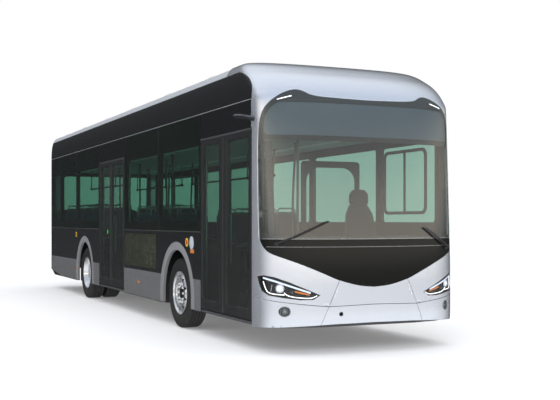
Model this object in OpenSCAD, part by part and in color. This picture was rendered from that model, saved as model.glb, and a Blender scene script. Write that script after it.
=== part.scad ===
// City bus, low floor, two double doors on the kerb side.
// Frame: +Z up, the front faces -Y, the kerb (door) side is -X. Origin: middle of the footprint, on the ground.
// Lengths along the bus are given as s, the distance back from the front tip; Y = s - body_l / 2.

/* [Body] */
// Overall length
body_l = 12200; // [12000:50:12400]
// Overall width over the side panels
body_w = 2550; // [2500:10:2550]
// Height of the roof crown above the ground
body_h = 3390; // [3340:10:3400]
// Underside of the skirts above the ground
skirt_z = 310; // [290:5:330]
// Top edge of the skirts
sill_z = 710; // [690:5:730]
// Waist line under the windows
belt_z = 1330; // [1300:5:1360]
// Line between the windows and the cove panels
cove_z = 2840; // [2820:5:2860]
// Top edge of the cove panels
eave_z = 3210; // [3190:5:3220]
// Underside of the floor
floor_z = 290; // [280:5:295]

/* [Wheels] */
// Front axle, from the front tip
front_axle_s = 3236; // [3200:1:3260]
// Rear axle, from the front tip
rear_axle_s = 8840; // [8800:1:8900]
// Tyre outside radius
tyre_r = 478.5; // [470:0.5:480]
// Tyre section width
tyre_w = 275; // [270:1:280]
// Rim flange radius
rim_r = 303; // [300:1:306]
// Kingpin distance from the centre line
kingpin_x = 955; // [945:1:960]

/* [Doors] */
// Front doorway, front edge
d1_a = 536; // [534:1:545]
// Front doorway, rear edge
d1_b = 2244; // [2240:1:2246]
// Front doorway, line where the leaves meet
d1_m = 1440; // [1400:1:1470]
// Rear doorway, front edge
d2_a = 5956; // [5950:1:5960]
// Rear doorway, rear edge
d2_b = 7664; // [7660:1:7670]
// Rear doorway, line where the leaves meet
d2_m = 6840; // [6800:1:6860]
// Leaf thickness
leaf_t = 45; // [40:1:48]
// Doorway top edge
door_top = 2520; // [2510:1:2530]

/* [Hidden] */
$fn = 48;

hw = body_w / 2;
skin = 8;              // bonded glass and outer panels
frame_x = hw - skin;   // outer face of the side frames
frame_i = hw - 60;     // inner face of the side frames
ws_f = 640;            // half length of the front wheel boxes
ws_r = 585;            // half length of the rear wheel boxes
wx_f = 580;            // inner wall of the front wheel boxes
wx_r = 612;            // inner wall of the rear wheel boxes
wz = 1110;             // underside of the wheel box tops
nose_s = 560;          // where the nose becomes the straight side

// ---- outer skin of the body -------------------------------------------------
// half section of the roof edge from the cove line to the crown: [x, z]
// height over the eave, as a share of the way to the crown
function crown(h) = eave_z + (body_h - eave_z) * h;
SEC = [[1275, 2840], [1274, 2930], [1271, 3010], [1264, 3080], [1252, 3150], [1234, eave_z], [1205, crown(0.323)], [1160, crown(0.569)], [1090, crown(0.723)],
       [960, crown(0.823)], [760, crown(0.9)], [480, crown(0.962)], [200, crown(0.992)], [0, body_h]];
// centre line of the front: [height, distance back]
FRONT = [[300, 18], [360, 8], [440, 2], [560, 0], [760, 1], [900, 6], [1060, 15], [1200, 26], [1330, 37], [1600, 64], [2000, 104],
         [2400, 147], [2600, 172], [2740, 193], [2840, 212], [2900, 235], [2960, 272], [3020, 322], [3080, 386], [3140, 470],
         [3190, 560], [crown(0.154), 655], [crown(0.385), 750], [crown(0.569), 850], [crown(0.708), 950], [crown(0.815), 1060], [crown(0.892), 1160], [crown(0.946), 1250], [crown(0.977), 1330], [body_h, 1420]];
// where the nose meets the straight body: [height, distance back]
NOSE_END = [[300, 560], [2840, 560], [2930, 640], [3010, 720], [3080, 800], [3150, 900], [eave_z, 1000], [crown(0.323), 1080], [crown(0.569), 1150], [crown(0.723), 1200], [crown(0.823), 1260], [crown(0.9), 1310], [crown(0.962), 1360], [body_h, 1430]];
function front_y(z) = lookup(z, FRONT);
function nose_end(z) = max(lookup(z, NOSE_END), front_y(z) + 8);
NEXP = 2.8;
// one point of the nose at height z, half width w and sweep angle a (-90 to 90)
function nose_pt(z, w, a, in = 0) =
  let(f = front_y(z) + in, e = nose_end(z), d = max(e - f, 5),
      sx = sign(sin(a)) * pow(abs(sin(a)), 2 / NEXP), cy = pow(abs(cos(a)), 2 / NEXP))
  [w * sx, f + d * (1 - cy)];
NA = 36;   // steps round the nose
LEVELS = concat([for (z = [300, 360, 440, 560, 680, 800, 900, 1060, 1200, 1330, 1520, 1720, 1920, 2120, 2320, 2500, 2640, 2740]) [hw, z]], SEC);
S_END = 1500;
// closed ring of the nose shell at one level: round the nose, then back along both sides
function ring(w, z, in) = concat([[-w, S_END, z]],
  [for (k = [0:NA]) let(a = -90 + 180 * k / NA, p = nose_pt(z, w, a, in)) [p[0], p[1], z]], [[w, S_END, z]]);
module loft(rings) {
  n = len(rings[0]); m = len(rings);
  pts = [for (r = rings) each r];
  faces = concat(
    [for (i = [0:m - 2], j = [0:n - 1]) let(a = i * n + j, b = i * n + (j + 1) % n) [a, a + n, b]],
    [for (i = [0:m - 2], j = [0:n - 1]) let(b = i * n + (j + 1) % n, a = i * n + j) [b, a + n, b + n]],
    [[for (j = [0:n - 1]) j]], [[for (j = [n - 1:-1:0]) (m - 1) * n + j]]);
  polyhedron(points = pts, faces = faces, convexity = 10);
}
// solid nose, shrunk by t on every face
module nose_solid(t, z0 = 300) {
  lv = [for (l = LEVELS) if (l[0] > 190) l];
  loft([for (l = lv) let(w = l[0] - t * (l[1] > 3200 ? 0.9 : 1), z = l[1] - (l[1] > 2840 ? t * pow((l[1] - 2840) / 500, 2) : 0))
    [for (p = ring(w, l[1], t)) [p[0], p[1], max(z, z0)]]]);
}
module nose_shell(t) { at(0) difference() { nose_solid(0); translate([0, 0, -2]) nose_solid(t); } }

// ---- helpers ------------------------------------------------------------------
module at(s) { translate([0, s - body_l / 2, 0]) children(); }
module both() { children(); mirror([1, 0, 0]) children(); }
// box from a corner to a corner, s along the bus
module bx(x0, x1, s0, s1, z0, z1) { translate([x0, s0 - body_l / 2, z0]) cube([x1 - x0, s1 - s0, z1 - z0]); }
// the same on one side: k = -1 kerb side, 1 road side, with x measured outward
module sbx(k, x0, x1, s0, s1, z0, z1) { bx(k > 0 ? x0 : -x1, k > 0 ? x1 : -x0, s0, s1, z0, z1); }
// plate in the side plane: polygon in (s, z) pulled from x0 to x1 on side k
module splate(k, x0, x1) { translate([k > 0 ? x0 : -x1, -body_l / 2, 0]) rotate([90, 0, 90]) linear_extrude(height = x1 - x0) children(); }
// plate in the front plane: polygon in (x, z) pulled from s0 to s1
module fplate(s0, s1) { translate([0, s1 - body_l / 2, 0]) rotate([90, 0, 0]) linear_extrude(height = s1 - s0) children(); }
module rrect(x0, z0, x1, z1, r) {
  translate([x0 + r, z0]) square([x1 - x0 - 2 * r, z1 - z0]);
  translate([x0, z0 + r]) square([x1 - x0, z1 - z0 - 2 * r]);
  for (p = [[x0 + r, z0 + r], [x1 - r, z0 + r], [x0 + r, z1 - r], [x1 - r, z1 - r]]) translate(p) circle(r);
}

// ---- openings in the sides ------------------------------------------------------
// glazed bays, [s0, s1]: kerb side and road side
BAYS_K = [[2252, 4066], [4074, 5948], [7672, 9526], [9534, 11096], [11104, 12080]];
BAYS_R = [[568, 1996], [2004, 4066], [4074, 5948], [5956, 7664], [7672, 9526], [9534, 11096], [11104, 12080]];
SEE = 62;              // width of the dark border round each clear opening
win_z0 = 1455; win_z1 = 2450;
arch_r = 612; arch_or = 755; arch_z = 462; arch_oz = 435;
DOORS = [[d1_a, d1_b], [d2_a, d2_b]];

module arch_cut(s, r, z) { translate([s, z]) circle(r); translate([s - r, 0]) square([2 * r, z]); }
module wheel_cuts(r, z) { arch_cut(front_axle_s, r, z); arch_cut(rear_axle_s, r, z); }
LOWWIN = [[4214, 5014], [5090, 5856]];

module side_frame(k) {
  bays = k < 0 ? BAYS_K : BAYS_R;
  splate(k, frame_i, frame_x) difference() {
    translate([nose_s + 4, floor_z + 10]) square([12080 - nose_s - 4, cove_z - floor_z - 14]);
    for (b = bays) rrect(b[0] + SEE, win_z0, b[1] - SEE, win_z1, 45);
    wheel_cuts(arch_r + 40, arch_z);
    if (k < 0) for (d = DOORS) translate([d[0], 0]) square([d[1] - d[0], door_top]);
    if (k < 0) for (w = LOWWIN) rrect(w[0], 800, w[1], 1240, 30);
    polygon([[11150, 100], [12300, 100], [12300, 425], [12050, 400]]);
  }
}
module side_frames() { color([0.09, 0.10, 0.11]) { side_frame(-1); side_frame(1); } }

module side_windows() color([0.10, 0.22, 0.18, 0.5]) {
  for (b = BAYS_K) sbx(-1, frame_x, hw, b[0], b[1], belt_z + 4, cove_z - 4);
  for (b = BAYS_R) sbx(1, frame_x, hw, b[0], b[1], belt_z + 4, cove_z - 4);
  sbx(-1, frame_x, hw, nose_s + 4, d1_b - 4, door_top + 4, cove_z - 4);
  sbx(-1, frame_x, hw, d2_a + 4, d2_b - 4, door_top + 4, cove_z - 4);
  sbx(-1, frame_x, hw, LOWWIN[0][0] - 30, LOWWIN[1][1] + 30, 770, 1270);
}
module side_panels() color([0.03, 0.035, 0.04]) {
  splate(-1, frame_x, hw) difference() {
    union() { translate([d1_b + 4, sill_z + 4]) square([d2_a - d1_b - 8, belt_z - sill_z - 8]);
              translate([d2_b + 4, sill_z + 4]) square([12080 - d2_b, belt_z - sill_z - 8]); }
    wheel_cuts(arch_or, arch_oz);
    translate([LOWWIN[0][0] - 36, 764]) square([LOWWIN[1][1] - LOWWIN[0][0] + 72, 512]);
  }
  splate(1, frame_x, hw) difference() {
    translate([nose_s + 4, sill_z + 4]) square([12080 - nose_s, belt_z - sill_z - 8]);
    wheel_cuts(arch_or, arch_oz);
  }
}
module skirt(k, s0, s1) splate(k, frame_x, hw) difference() {
  translate([s0, skirt_z]) square([s1 - s0, sill_z - skirt_z]);
  wheel_cuts(arch_or, arch_oz);
  polygon([[11150, 100], [12300, 100], [12300, 425], [12080, 405], [11150, 330]]);
}
module skirt_panels() color([0.42, 0.43, 0.45]) {
  skirt(-1, d1_b + 4, 3300); skirt(-1, 3300, d2_a - 4); skirt(-1, d2_b + 4, 8900); skirt(-1, 8900, 12084);
  skirt(1, nose_s + 4, 3300); skirt(1, 3300, 8900); skirt(1, 8900, 12084);
}
module wheel_arch_trims() color([0.55, 0.56, 0.58])
  for (k = [-1, 1], s = [front_axle_s, rear_axle_s])
    splate(k, frame_x, hw) difference() {
      union() { translate([s, arch_oz]) circle(arch_or - 4); translate([s - arch_or + 4, skirt_z]) square([2 * arch_or - 8, arch_oz - skirt_z]); }
      arch_cut(s, arch_r, arch_z);
      translate([s - 800, -1000]) square([1600, 1000 + skirt_z]);
    }

// ---- front ----------------------------------------------------------------------
// dark glazed mask, right half, from the bottom tip to the top: [x, z]
MASK = [[0, 731], [200, 750], [442, 812], [620, 885], [860, 985], [1050, 1058], [1140, 1095], [1190, 1125], [1225, 1170], [1246, 1230],
        [1255, 1310], [1257, 1600], [1257, 2100], [1254, 2400], [1246, 2550], [1230, 2650], [1200, 2730], [1150, 2795], [1090, 2845],
        [1030, 2885], [960, 2917], [895, 2938], [833, 2945], [775, 2934], [730, 2913], [690, 2893], [620, 2878], [520, 2869], [350, 2862], [150, 2857], [0, 2855]];
function mirrored(p) = concat([for (q = p) q], [for (i = [len(p) - 1:-1:0]) if (p[i][0] > 0) [-p[i][0], p[i][1]]]);
// seam between the fascia and the bumper, right half
SEAM = [[0, 538], [574, 526], [880, 556], [1100, 585], [1300, 620]];
// lower edge of the bumper, right half
CHIN = [[0, 335], [500, 330], [900, 314], [1300, 296]];
HEADLIGHT = [[663, 652], [760, 605], [890, 600], [1090, 620], [1205, 650], [1250, 700], [1285, 860], [1240, 872], [1050, 822], [815, 722]];
fog_x = 1056; fog_z = 478; fog_r = 44;
// rear edge of the front corner over the cove line: [s, z]
COVE_FRONT = [[545, 2844], [548, 2900], [562, 2960], [600, 3020], [675, 3085], [765, 3135], [875, 3175], [1000, 3206]];
module under(line, g) fplate(-40, 1700) polygon(concat([[1400, 0], [1400, line[len(line) - 1][1] + g]],
  [for (i = [len(line) - 1:-1:0]) [line[i][0], line[i][1] + g]], [for (i = [1:len(line) - 1]) [-line[i][0], line[i][1] + g]], [[-1400, 0]]));
module cove_zone(g, s_end) splate(1, -1400, 1400)
  polygon(concat([[s_end, 2844 + min(g, 0)]], [for (p = COVE_FRONT) [p[0] + g, p[1] + (p[1] < 2850 ? min(g, 0) : p[1] > 3200 ? max(-g, 0) : 0)]], [[s_end, 3206 + max(-g, 0)]]));
module body_behind() {
  bx(-1400, 1400, nose_s, 1700, 0, 2840);
  bx(-1400, -1100, d1_a, 700, 0, door_top + 4);
}
module tow_holes() for (s = [0]) translate([-tow_x, -body_l / 2 - 40, tow_z]) rotate([-90, 0, 0]) cylinder(r = 26, h = 300);
tow_x = 420; tow_z = 440; tow_r = 20; tow_len = 120;
module front_fascia() color([0.80, 0.83, 0.87]) resize([0, 0, 0]) difference() {
  nose_shell(40);
  body_behind();
  cove_zone(-4, 1700);
  bx(-1400, 1400, roof_s0 - 4, 1800, 2700, 3500);
  fplate(-40, 480) polygon(mirrored(MASK));
  both() fplate(-40, 470) polygon(HEADLIGHT);
  under(SEAM, 3);
}
module front_bumper() color([0.80, 0.83, 0.87]) resize([0, 0, 0]) difference() {
  intersection() { nose_shell(40); under(SEAM, -3); }
  under(CHIN, 0);
  body_behind();
  both() translate([fog_x, 0, fog_z]) translate([0, -body_l / 2 - 40, 0]) rotate([-90, 0, 0]) cylinder(r = fog_r, h = 460);
  tow_holes();
}
module windscreen() color([0.06, 0.08, 0.08, 0.6]) resize([0, 0, 0]) intersection() {
  nose_shell(24);
  fplate(-40, 480) offset(delta = -4) polygon(mirrored(MASK));
}
module headlights() color([0.85, 0.88, 0.90, 0.6]) resize([0, 0, 0]) {
  intersection() { nose_shell(60); both() fplate(-40, 466) offset(delta = -3) polygon(HEADLIGHT); }
  intersection() { nose_shell(60); both() translate([fog_x, -body_l / 2 - 40, fog_z]) rotate([-90, 0, 0]) cylinder(r = fog_r - 3, h = 440); }
}
// rear-view camera wings: the road-side one stands further back, on the pillar of the driver's window
module camera_wing(s, root) translate([0, s - body_l / 2, 2590]) linear_extrude(height = 62)
  polygon([[root, -26], [1330, -30], [1420, -34], [1490, -28], [1508, -8], [1515, 22], [1508, 52], [1480, 66], [1400, 62], [1320, 50], [root, 46]]);
module camera_mirrors() color([0.80, 0.83, 0.87]) { mirror([1, 0, 0]) camera_wing(480, 1275); camera_wing(900, 1275); }
function skin_pt(x, z, out) = let(w = hw, f = front_y(z), e = nose_end(z), q = pow(min(abs(x) / w, 0.9999), NEXP / 2),
  cy = pow(cos(asin(q)), 2 / NEXP)) [x, f + (e - f) * (1 - cy) - out - body_l / 2, z];
module rod(p, q, r) { d = q - p; l = norm(d); translate(p) rotate([0, acos(d[2] / l), atan2(d[1], d[0])]) cylinder(r = r, h = l); }
module wiper(p, q) {
  n = 3;
  for (i = [0:n - 1]) { a = p + (q - p) * i / n; b = p + (q - p) * (i + 0.94) / n; rod(skin_pt(a[0], a[1], 26), skin_pt(b[0], b[1], 26), 8); }
  rod(skin_pt(p[0], p[1], 18), skin_pt(p[0], p[1], 36), 15);
}
module wipers() color([0.05, 0.05, 0.05]) { wiper([-1118, 1217], [-572, 1466]); wiper([1061, 1163], [691, 1395]); }

// ---- roof, coves and rear --------------------------------------------------------
ROOF = [for (p = SEC) if (p[1] > 3209) p];
roof_s0 = 1424; roof_s1 = 12080;
module roof_profile(t) polygon(concat(ROOF, [for (i = [len(ROOF) - 2:-1:0]) [-ROOF[i][0], ROOF[i][1]]],
  [for (p = ROOF) [-p[0] * (1 - t / 1275), p[1] - t * (p[1] > 3260 ? 1 : 0.02)]], [for (i = [len(ROOF) - 2:-1:0]) [ROOF[i][0] * (1 - t / 1275), ROOF[i][1] - t * (ROOF[i][1] > 3260 ? 1 : 0.02)]]));
module roof() color([0.80, 0.83, 0.87]) fplate(roof_s0, roof_s1) roof_profile(50);
module cove_panels() color([0.03, 0.035, 0.04]) {
  resize([0, 0, 0]) intersection() { nose_shell(46); cove_zone(0, roof_s0); }
  both() fplate(roof_s0 + 4, roof_s1) polygon([[1275, 2844], [1274, 2930], [1271, 3010], [1264, 3080], [1252, 3150], [1235, 3206], [1189, 3206], [1206, 3150], [1218, 3080], [1225, 3010], [1229, 2930], [1229, 2844]]);
}
module rear_plan(t) {
  r = 110;
  translate([-hw + t, 12084 - body_l / 2 - 700]) square([body_w - 2 * t, 700 + 116 - r]);
  translate([-hw + t + r, 12084 - body_l / 2 - 700]) square([body_w - 2 * t - 2 * r, 700 + 116]);
  for (k = [-1, 1]) translate([k * (hw - t - r), body_l / 2 - r]) circle(r);
}
module rear_section(z0, z1) fplate(12084, body_l) intersection() {
  polygon(concat([[hw, 300]], SEC, [for (i = [len(SEC) - 2:-1:0]) [-SEC[i][0], SEC[i][1]]], [[-hw, 300]]));
  translate([-1400, z0]) square([2800, z1 - z0]);
}
module rear_skin(z0, z1) difference() {
  intersection() { rear_section(z0, z1); translate([0, 0, z0 - 10]) linear_extrude(height = z1 - z0 + 20) rear_plan(0); }
  fplate(12000, 12140) polygon([[-frame_i, 0], [frame_i, 0], [frame_i, 3180], [1080, body_h - 100], [-1080, body_h - 100], [-frame_i, 3180]]);
}
hatch_x = 900; hatch_z0 = 760; hatch_z1 = 1420;
module tail_cut(g) both() { fplate(12100, 12300) rrect(990 - g, 900 - g, 1120 + g, 1480 + g, 40); fplate(12100, 12300) rrect(990 - g, 2640 - g, 1120 + g, 2760 + g, 30); }
module rear_panel() color([0.80, 0.83, 0.87]) difference() {
  rear_skin(644, body_h);
  fplate(12100, 12300) rrect(-1050, 1560, 1050, 2560, 90);
  fplate(12100, 12300) rrect(-hatch_x - 6, hatch_z0 - 6, hatch_x + 6, hatch_z1 + 10, 12);
  tail_cut(3);
}
module bumper_part(x0, x1) color([0.42, 0.43, 0.45]) intersection() { rear_skin(410, 640); bx(x0, x1, 12000, 12300, 400, 650); }
module rear_bumper() bumper_part(-tow_x + 82, 1400);
module rear_bumper_corner() bumper_part(-1400, -tow_x - 82);
module rear_tow_panel() difference() {
  bumper_part(-tow_x - 78, -tow_x + 78);
  translate([-tow_x, 12000 - body_l / 2, tow_z + 60]) rotate([-90, 0, 0]) cylinder(r = 26, h = 300);
}
module rear_window() color([0.10, 0.22, 0.18, 0.5]) fplate(12160, 12190) rrect(-1046, 1564, 1046, 2556, 86);
module tail_lights() color([0.75, 0.05, 0.04, 0.8]) intersection() { fplate(12140, body_l - 2) square([2800, 8000], center = true); tail_cut(0); }
module rear_hatch() color([0.42, 0.43, 0.45]) {
  fplate(12156, 12196) rrect(-hatch_x, hatch_z0, hatch_x, hatch_z1, 16);
  bx(-850, 850, 12194, 12196, hatch_z1 - 10, hatch_z1 + 4);
  translate([-850, 12197 - body_l / 2, hatch_z1 + 4.5]) rotate([0, 90, 0]) cylinder(r = 2.5, h = 1700);
}

// ---- floor and inside ------------------------------------------------------------
low_top = floor_z + 32; high_top = 740; high_s = 8130; step_s = 7830;
module plan(z0, z1) translate([0, -body_l / 2, z0]) linear_extrude(height = z1 - z0) children();
module box_cut(z0, z1) for (k = [-1, 1]) { sbx(k, wx_f - 4, 1300, front_axle_s - ws_f - 16, front_axle_s + ws_f + 16, z0, z1);
                                           sbx(k, wx_r - 4, 1300, rear_axle_s - ws_r - 16, rear_axle_s + ws_r + 16, z0, z1); }
module tow_tube(s, z) translate([-tow_x, s - body_l / 2, z]) rotate([-90, 0, 0]) difference() { cylinder(r = 34, h = tow_len); translate([0, 0, -1]) cylinder(r = tow_r, h = tow_len + 2); }
module floor_grey() color([0.30, 0.31, 0.33]) children();
module front_floor() floor_grey() plan(floor_z, low_top)
  polygon([[-1150, 420], [-1130, 330], [-950, 210], [-600, 130], [600, 130], [950, 210], [1130, 330], [1200, 420], [1205, 560], [1205, 2578], [-1205, 2578], [-1205, 560]]);
module aisle_floor() floor_grey() bx(-574, 574, 2580, 3892, floor_z, low_top);
module middle_floor() floor_grey() {
  bx(-1205, 1205, 3894, step_s - 12, floor_z, low_top);
  for (k = [-1, 1], s = [4300, 7500]) translate([k * 1000, s - body_l / 2, floor_z - 14]) cylinder(r = 60, h = 20);
}
module floor_step() floor_grey() {
  bx(-1205, 1205, step_s - 10, step_s, floor_z, 531);
  bx(-1205, 1205, step_s - 1, high_s - 12, 499, 531);
}
module raised_floor() floor_grey() difference() {
  union() { bx(-1205, 1205, high_s - 10, high_s + 10, 499, high_top); bx(-1205, 1205, high_s, 12076, 708, high_top); }
  box_cut(400, 800);
}
module cab_platform() floor_grey() bx(290, 1200, 620, 2490, low_top + 1, 500);
module chassis_members() floor_grey() {
  difference() {
    union() { bx(-700, 700, 12000, 12080, 420, 706); bx(-700, 700, 9900, 9980, 420, 706); bx(-700, 700, 180, 230, low_top + 1, 500); }
    translate([-tow_x, 100 - body_l / 2, tow_z]) rotate([-90, 0, 0]) cylinder(r = 30, h = 200);
    translate([-tow_x, 11900 - body_l / 2, tow_z + 60]) rotate([-90, 0, 0]) cylinder(r = 30, h = 240);
  }
  tow_tube(110, tow_z);
  tow_tube(12010, tow_z + 60);
}
module wheelbox(k, s, w, x) difference() {
  sbx(k, x, 1211, s - w - 12, s + w + 12, 296, wz + 12);
  sbx(k, x + 12, 1300, s - w, s + w, 200, wz);
  if (s > 6000) translate([k * (x + 6), s - body_l / 2, tyre_r]) rotate([0, 90, 0]) cylinder(r = 90, h = 60, center = true);
}
module wheelhouses() color([0.12, 0.12, 0.13]) for (k = [-1, 1]) { wheelbox(k, front_axle_s, ws_f, wx_f); wheelbox(k, rear_axle_s, ws_r, wx_r); }
module ceiling() color([0.78, 0.79, 0.80]) plan(2560, 2578) polygon([[-1205, 700], [1205, 700], [1205, 12120], [-1205, 12120]]);
module dashboard() color([0.13, 0.14, 0.15]) {
  plan(560, 1150) polygon([[-1120, 384], [-1120, 350], [-960, 225], [-600, 140], [-300, 118], [0, 112], [300, 118], [600, 140], [960, 225], [1120, 350], [1120, 600], [960, 700], [330, 700], [230, 560], [0, 520], [-250, 400], [-420, 384]]);
  plan(1156, 1216) polygon([[360, 300], [930, 300], [980, 360], [980, 560], [900, 640], [400, 640], [340, 560]]);
}
// middle of the driver's place
cab_x = 800;
module steering_wheel() color([0.08, 0.08, 0.09]) translate([cab_x, 860 - body_l / 2, 1180]) rotate([-28, 0, 0]) {
  rotate_extrude() translate([215, 0]) circle(15);
  difference() { cylinder(r = 60, h = 24, center = true); }
  for (a = [90, 210, 330]) rotate([0, 0, a]) translate([50, -16, -7]) cube([160, 32, 14]);
  translate([0, 0, -240]) cylinder(r = 38, h = 235);
}
// seat side profile, front of the cushion at s = 0: [s, z]
SEAT = [[0, 392], [-6, 440], [20, 476], [60, 484], [330, 462], [372, 480], [408, 950], [424, 992], [452, 1006], [478, 992], [484, 960], [466, 470], [440, 400]];
module seat(k, x0, x1, s, z, leg = 1) {
  splate(k, x0, x1) polygon([for (p = SEAT) [p[0] + s, p[1] + z]]);
  if (leg > 0) sbx(k, (x0 + x1) / 2 - 60, (x0 + x1) / 2 + 60, s + 130, s + 330, z, z + 420);
}
module driver_seat() color([0.10, 0.10, 0.11]) {
  sbx(1, cab_x - 170, cab_x + 170, 1360, 1740, 500, 800);
  splate(1, cab_x - 240, cab_x + 240) polygon([[1270, 790], [1260, 850], [1290, 890], [1640, 880], [1680, 900], [1740, 1640], [1800, 1690], [1855, 1640], [1800, 860], [1760, 790]]);
  splate(1, cab_x - 120, cab_x + 120) polygon([[1755, 1660], [1740, 1700], [1755, 1870], [1790, 1892], [1835, 1880], [1850, 1700], [1840, 1660]]);
}
module driver_partition() color([0.16, 0.17, 0.18]) {
  fplate(2500, 2530) difference() { rrect(296, 502, 1200, 2300, 30); rrect(360, 1260, 1140, 2220, 30); }
  splate(1, 256, 286) rrect(1000, 330, 2496, 1260, 40);
}
// top of the boxes under the seats on the low floor
podium_top = 622;
ROWS_K = [4420, 5150]; ROWS_R = [3960, 4700, 5480];
ROWS_UP = [8200, 8960, 9720, 10480];
module passenger_seats() color([0.12, 0.20, 0.36]) {
  for (s = ROWS_K) { seat(-1, 330, 1190, s, podium_top); sbx(-1, 380, 1190, s + 60, s + 440, low_top, podium_top + 2); }
  for (s = ROWS_R) { seat(1, 330, 1190, s, podium_top); sbx(1, 380, 1190, s + 60, s + 440, low_top, podium_top + 2); }
  for (s = ROWS_UP, k = [-1, 1]) seat(k, 330, 1190, s, high_top, s > 9400 ? 1 : 0);
  for (i = [-2:2]) { x = i * 470; bx(x - 225, x + 225, 11560, 11990, high_top, high_top + 484); splate(1, x - 225, x + 225) polygon([[11994, high_top], [11994, 1590], [12034, 1740], [12084, 1740], [12110, 1540], [12110, high_top]]); }
}
RAIL_X = 520; rail_z = 2170; pole_r = 17;
module pole(x, s, z0) translate([x, s - body_l / 2, z0]) cylinder(r = pole_r, h = 2556 - z0);
module grab_rails() color([0.85, 0.70, 0.12]) {
  for (k = [-1, 1], r = [[3930, 7700], [8300, 11500]]) if (!(k < 0 && r[0] < 5000)) translate([k * RAIL_X, r[0] - body_l / 2, rail_z]) rotate([-90, 0, 0]) cylinder(r = pole_r, h = r[1] - r[0]);
  translate([-RAIL_X, 4100 - body_l / 2, rail_z]) rotate([-90, 0, 0]) cylinder(r = pole_r, h = 1650);
  for (s = [3930, 6150, 7700]) pole(RAIL_X, s, low_top);
  for (s = [4150, 5720]) pole(-RAIL_X, s, low_top);
  for (s = [8420, 9900, 11450], k = [-1, 1]) pole(k * 300, s, high_top);
  pole(-200, 2700, low_top); pole(300, 2700, low_top);
  for (s = [1440, 6840]) pole(-270, s, low_top);
}
module drive_unit() color([0.25, 0.25, 0.27]) bx(-480, 480, 10150, 11500, 400, 700);

// ---- axles and wheels -------------------------------------------------------------
module front_axle() color([0.10, 0.10, 0.11]) {
  at(front_axle_s) {
    difference() {
      union() {
        translate([0, 50, 0]) rotate([90, 0, 0]) linear_extrude(height = 100) polygon([[-540, 170], [540, 170], [640, 230], [740, 360], [870, 360], [870, 597], [730, 597], [660, 500], [614, 330], [600, 272], [540, 270],
          [-540, 270], [-600, 272], [-614, 330], [-660, 500], [-730, 597], [-870, 597], [-870, 360], [-740, 360], [-640, 230]]);
        for (k = [-1, 1], z = [360, 565]) translate([k > 0 ? 860 : -kingpin_x, -45, z]) cube([kingpin_x - 860, 90, 32]);
        for (k = [-1, 1], z = [360, 565]) translate([k * kingpin_x, 0, z]) cylinder(r = 45, h = 32);
      }
    }
    for (k = [-1, 1]) translate([k * kingpin_x, 0, 362]) cylinder(r = 20, h = 233);
  }
}
module rear_axle() color([0.10, 0.10, 0.11]) at(rear_axle_s) {
  translate([-885, 0, tyre_r]) rotate([0, 90, 0]) cylinder(r = 75, h = 1770);
  translate([-190, 0, tyre_r]) rotate([0, 90, 0]) cylinder(r = 188, h = 380);
}
module knuckle() {
  difference() {
    union() {
      translate([kingpin_x, 0, 401]) cylinder(r = 44, h = 155);
      translate([kingpin_x + 30, 0, tyre_r]) rotate([0, 90, 0]) cylinder(r = 38, h = 190);
      translate([kingpin_x + 56, 0, tyre_r]) rotate([0, 90, 0]) cylinder(r = 150, h = 60);
    }
    translate([kingpin_x, 0, 390]) cylinder(r = 20.05, h = 180);
  }
}
module front_left_knuckle() color([0.12, 0.12, 0.13]) at(front_axle_s) knuckle();
module front_right_knuckle() color([0.12, 0.12, 0.13]) at(front_axle_s) mirror([1, 0, 0]) knuckle();
RIM = [[284, -126], [303, -126], [303, -117], [285, -112], [282, -90], [262, -40], [262, 40], [282, 90], [285, 112], [303, 117], [303, 126], [290, 126], [275, 100], [252, 46], [252, -46], [274, -96]];
TYRE = [[285, -90], [287.5, -107], [303, -113], [330, -128], [370, -136.5], [410, -137.5], [445, -132], [466, -120], [475, -104], [478.5, -84], [478.5, 84], [475, 104], [466, 120], [445, 132], [410, 137.5], [370, 136.5], [330, 128], [303, 113], [287.5, 107], [285, 90], [266, 44], [266, -44]];
// wheel parts stand along +Z here, outer side up
module tyre() rotate_extrude() polygon(TYRE);
module holes(r, n, rr, z0, h) for (i = [0:n - 1]) rotate([0, 0, 360 * (i + 0.5) / n]) translate([r, 0, z0]) cylinder(r = rr, h = h);
module front_rim() {
  rotate_extrude() polygon(RIM);
  difference() {
    rotate_extrude() polygon([[70, 92], [140, 92], [160, 100], [200, 112], [235, 90], [256, 40], [253, 20], [263, 20], [263, 52], [246, 98], [205, 126], [160, 114], [140, 106], [70, 106]]);
    holes(215, 10, 24, 60, 80);
  }
  rotate_extrude() polygon([[0, 112], [0, 138], [70, 138], [92, 120], [96, 88], [70, 88], [70, 112]]);
  difference() { translate([0, 0, 36]) cylinder(r = 105, h = 57); translate([0, 0, 20]) cylinder(r = 84, h = 66); }
  difference() { translate([0, 0, 82]) cylinder(r = 104, h = 10); translate([0, 0, 80]) cylinder(r = 60, h = 20); }
}
module rear_rim_pair() {   // centred on the plane between the two tyres
  for (k = [-1, 1]) translate([0, 0, k * 155.5]) rotate_extrude() polygon(RIM);
  for (k = [-1, 1]) mirror([0, 0, k > 0 ? 0 : 1]) difference() {
    rotate_extrude() polygon([[90, 0], [180, 0], [225, 14], [254, 70], [256, 118], [262, 118], [262, 60], [236, 4], [190, -0.5], [90, -0.5]]);
    holes(215, 10, 24, -20, 80);
  }
  rotate_extrude() polygon([[0, 96], [60, 96], [70, 60], [100, 52], [150, 40], [150, 12], [200, 12], [200, -12], [150, -12], [150, -26], [0, -26]]);
}
module wheel_at(x, s) translate([x, s - body_l / 2, tyre_r]) rotate([0, x > 0 ? 90 : -90, 0]) children();
tw_x = 1235 - tyre_w / 2; mid_x = tw_x - 155.5; in_x = tw_x - 311;
module front_left_rim() color([0.75, 0.76, 0.78]) wheel_at(tw_x, front_axle_s) front_rim();
module front_right_rim() color([0.75, 0.76, 0.78]) wheel_at(-tw_x, front_axle_s) front_rim();
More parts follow.
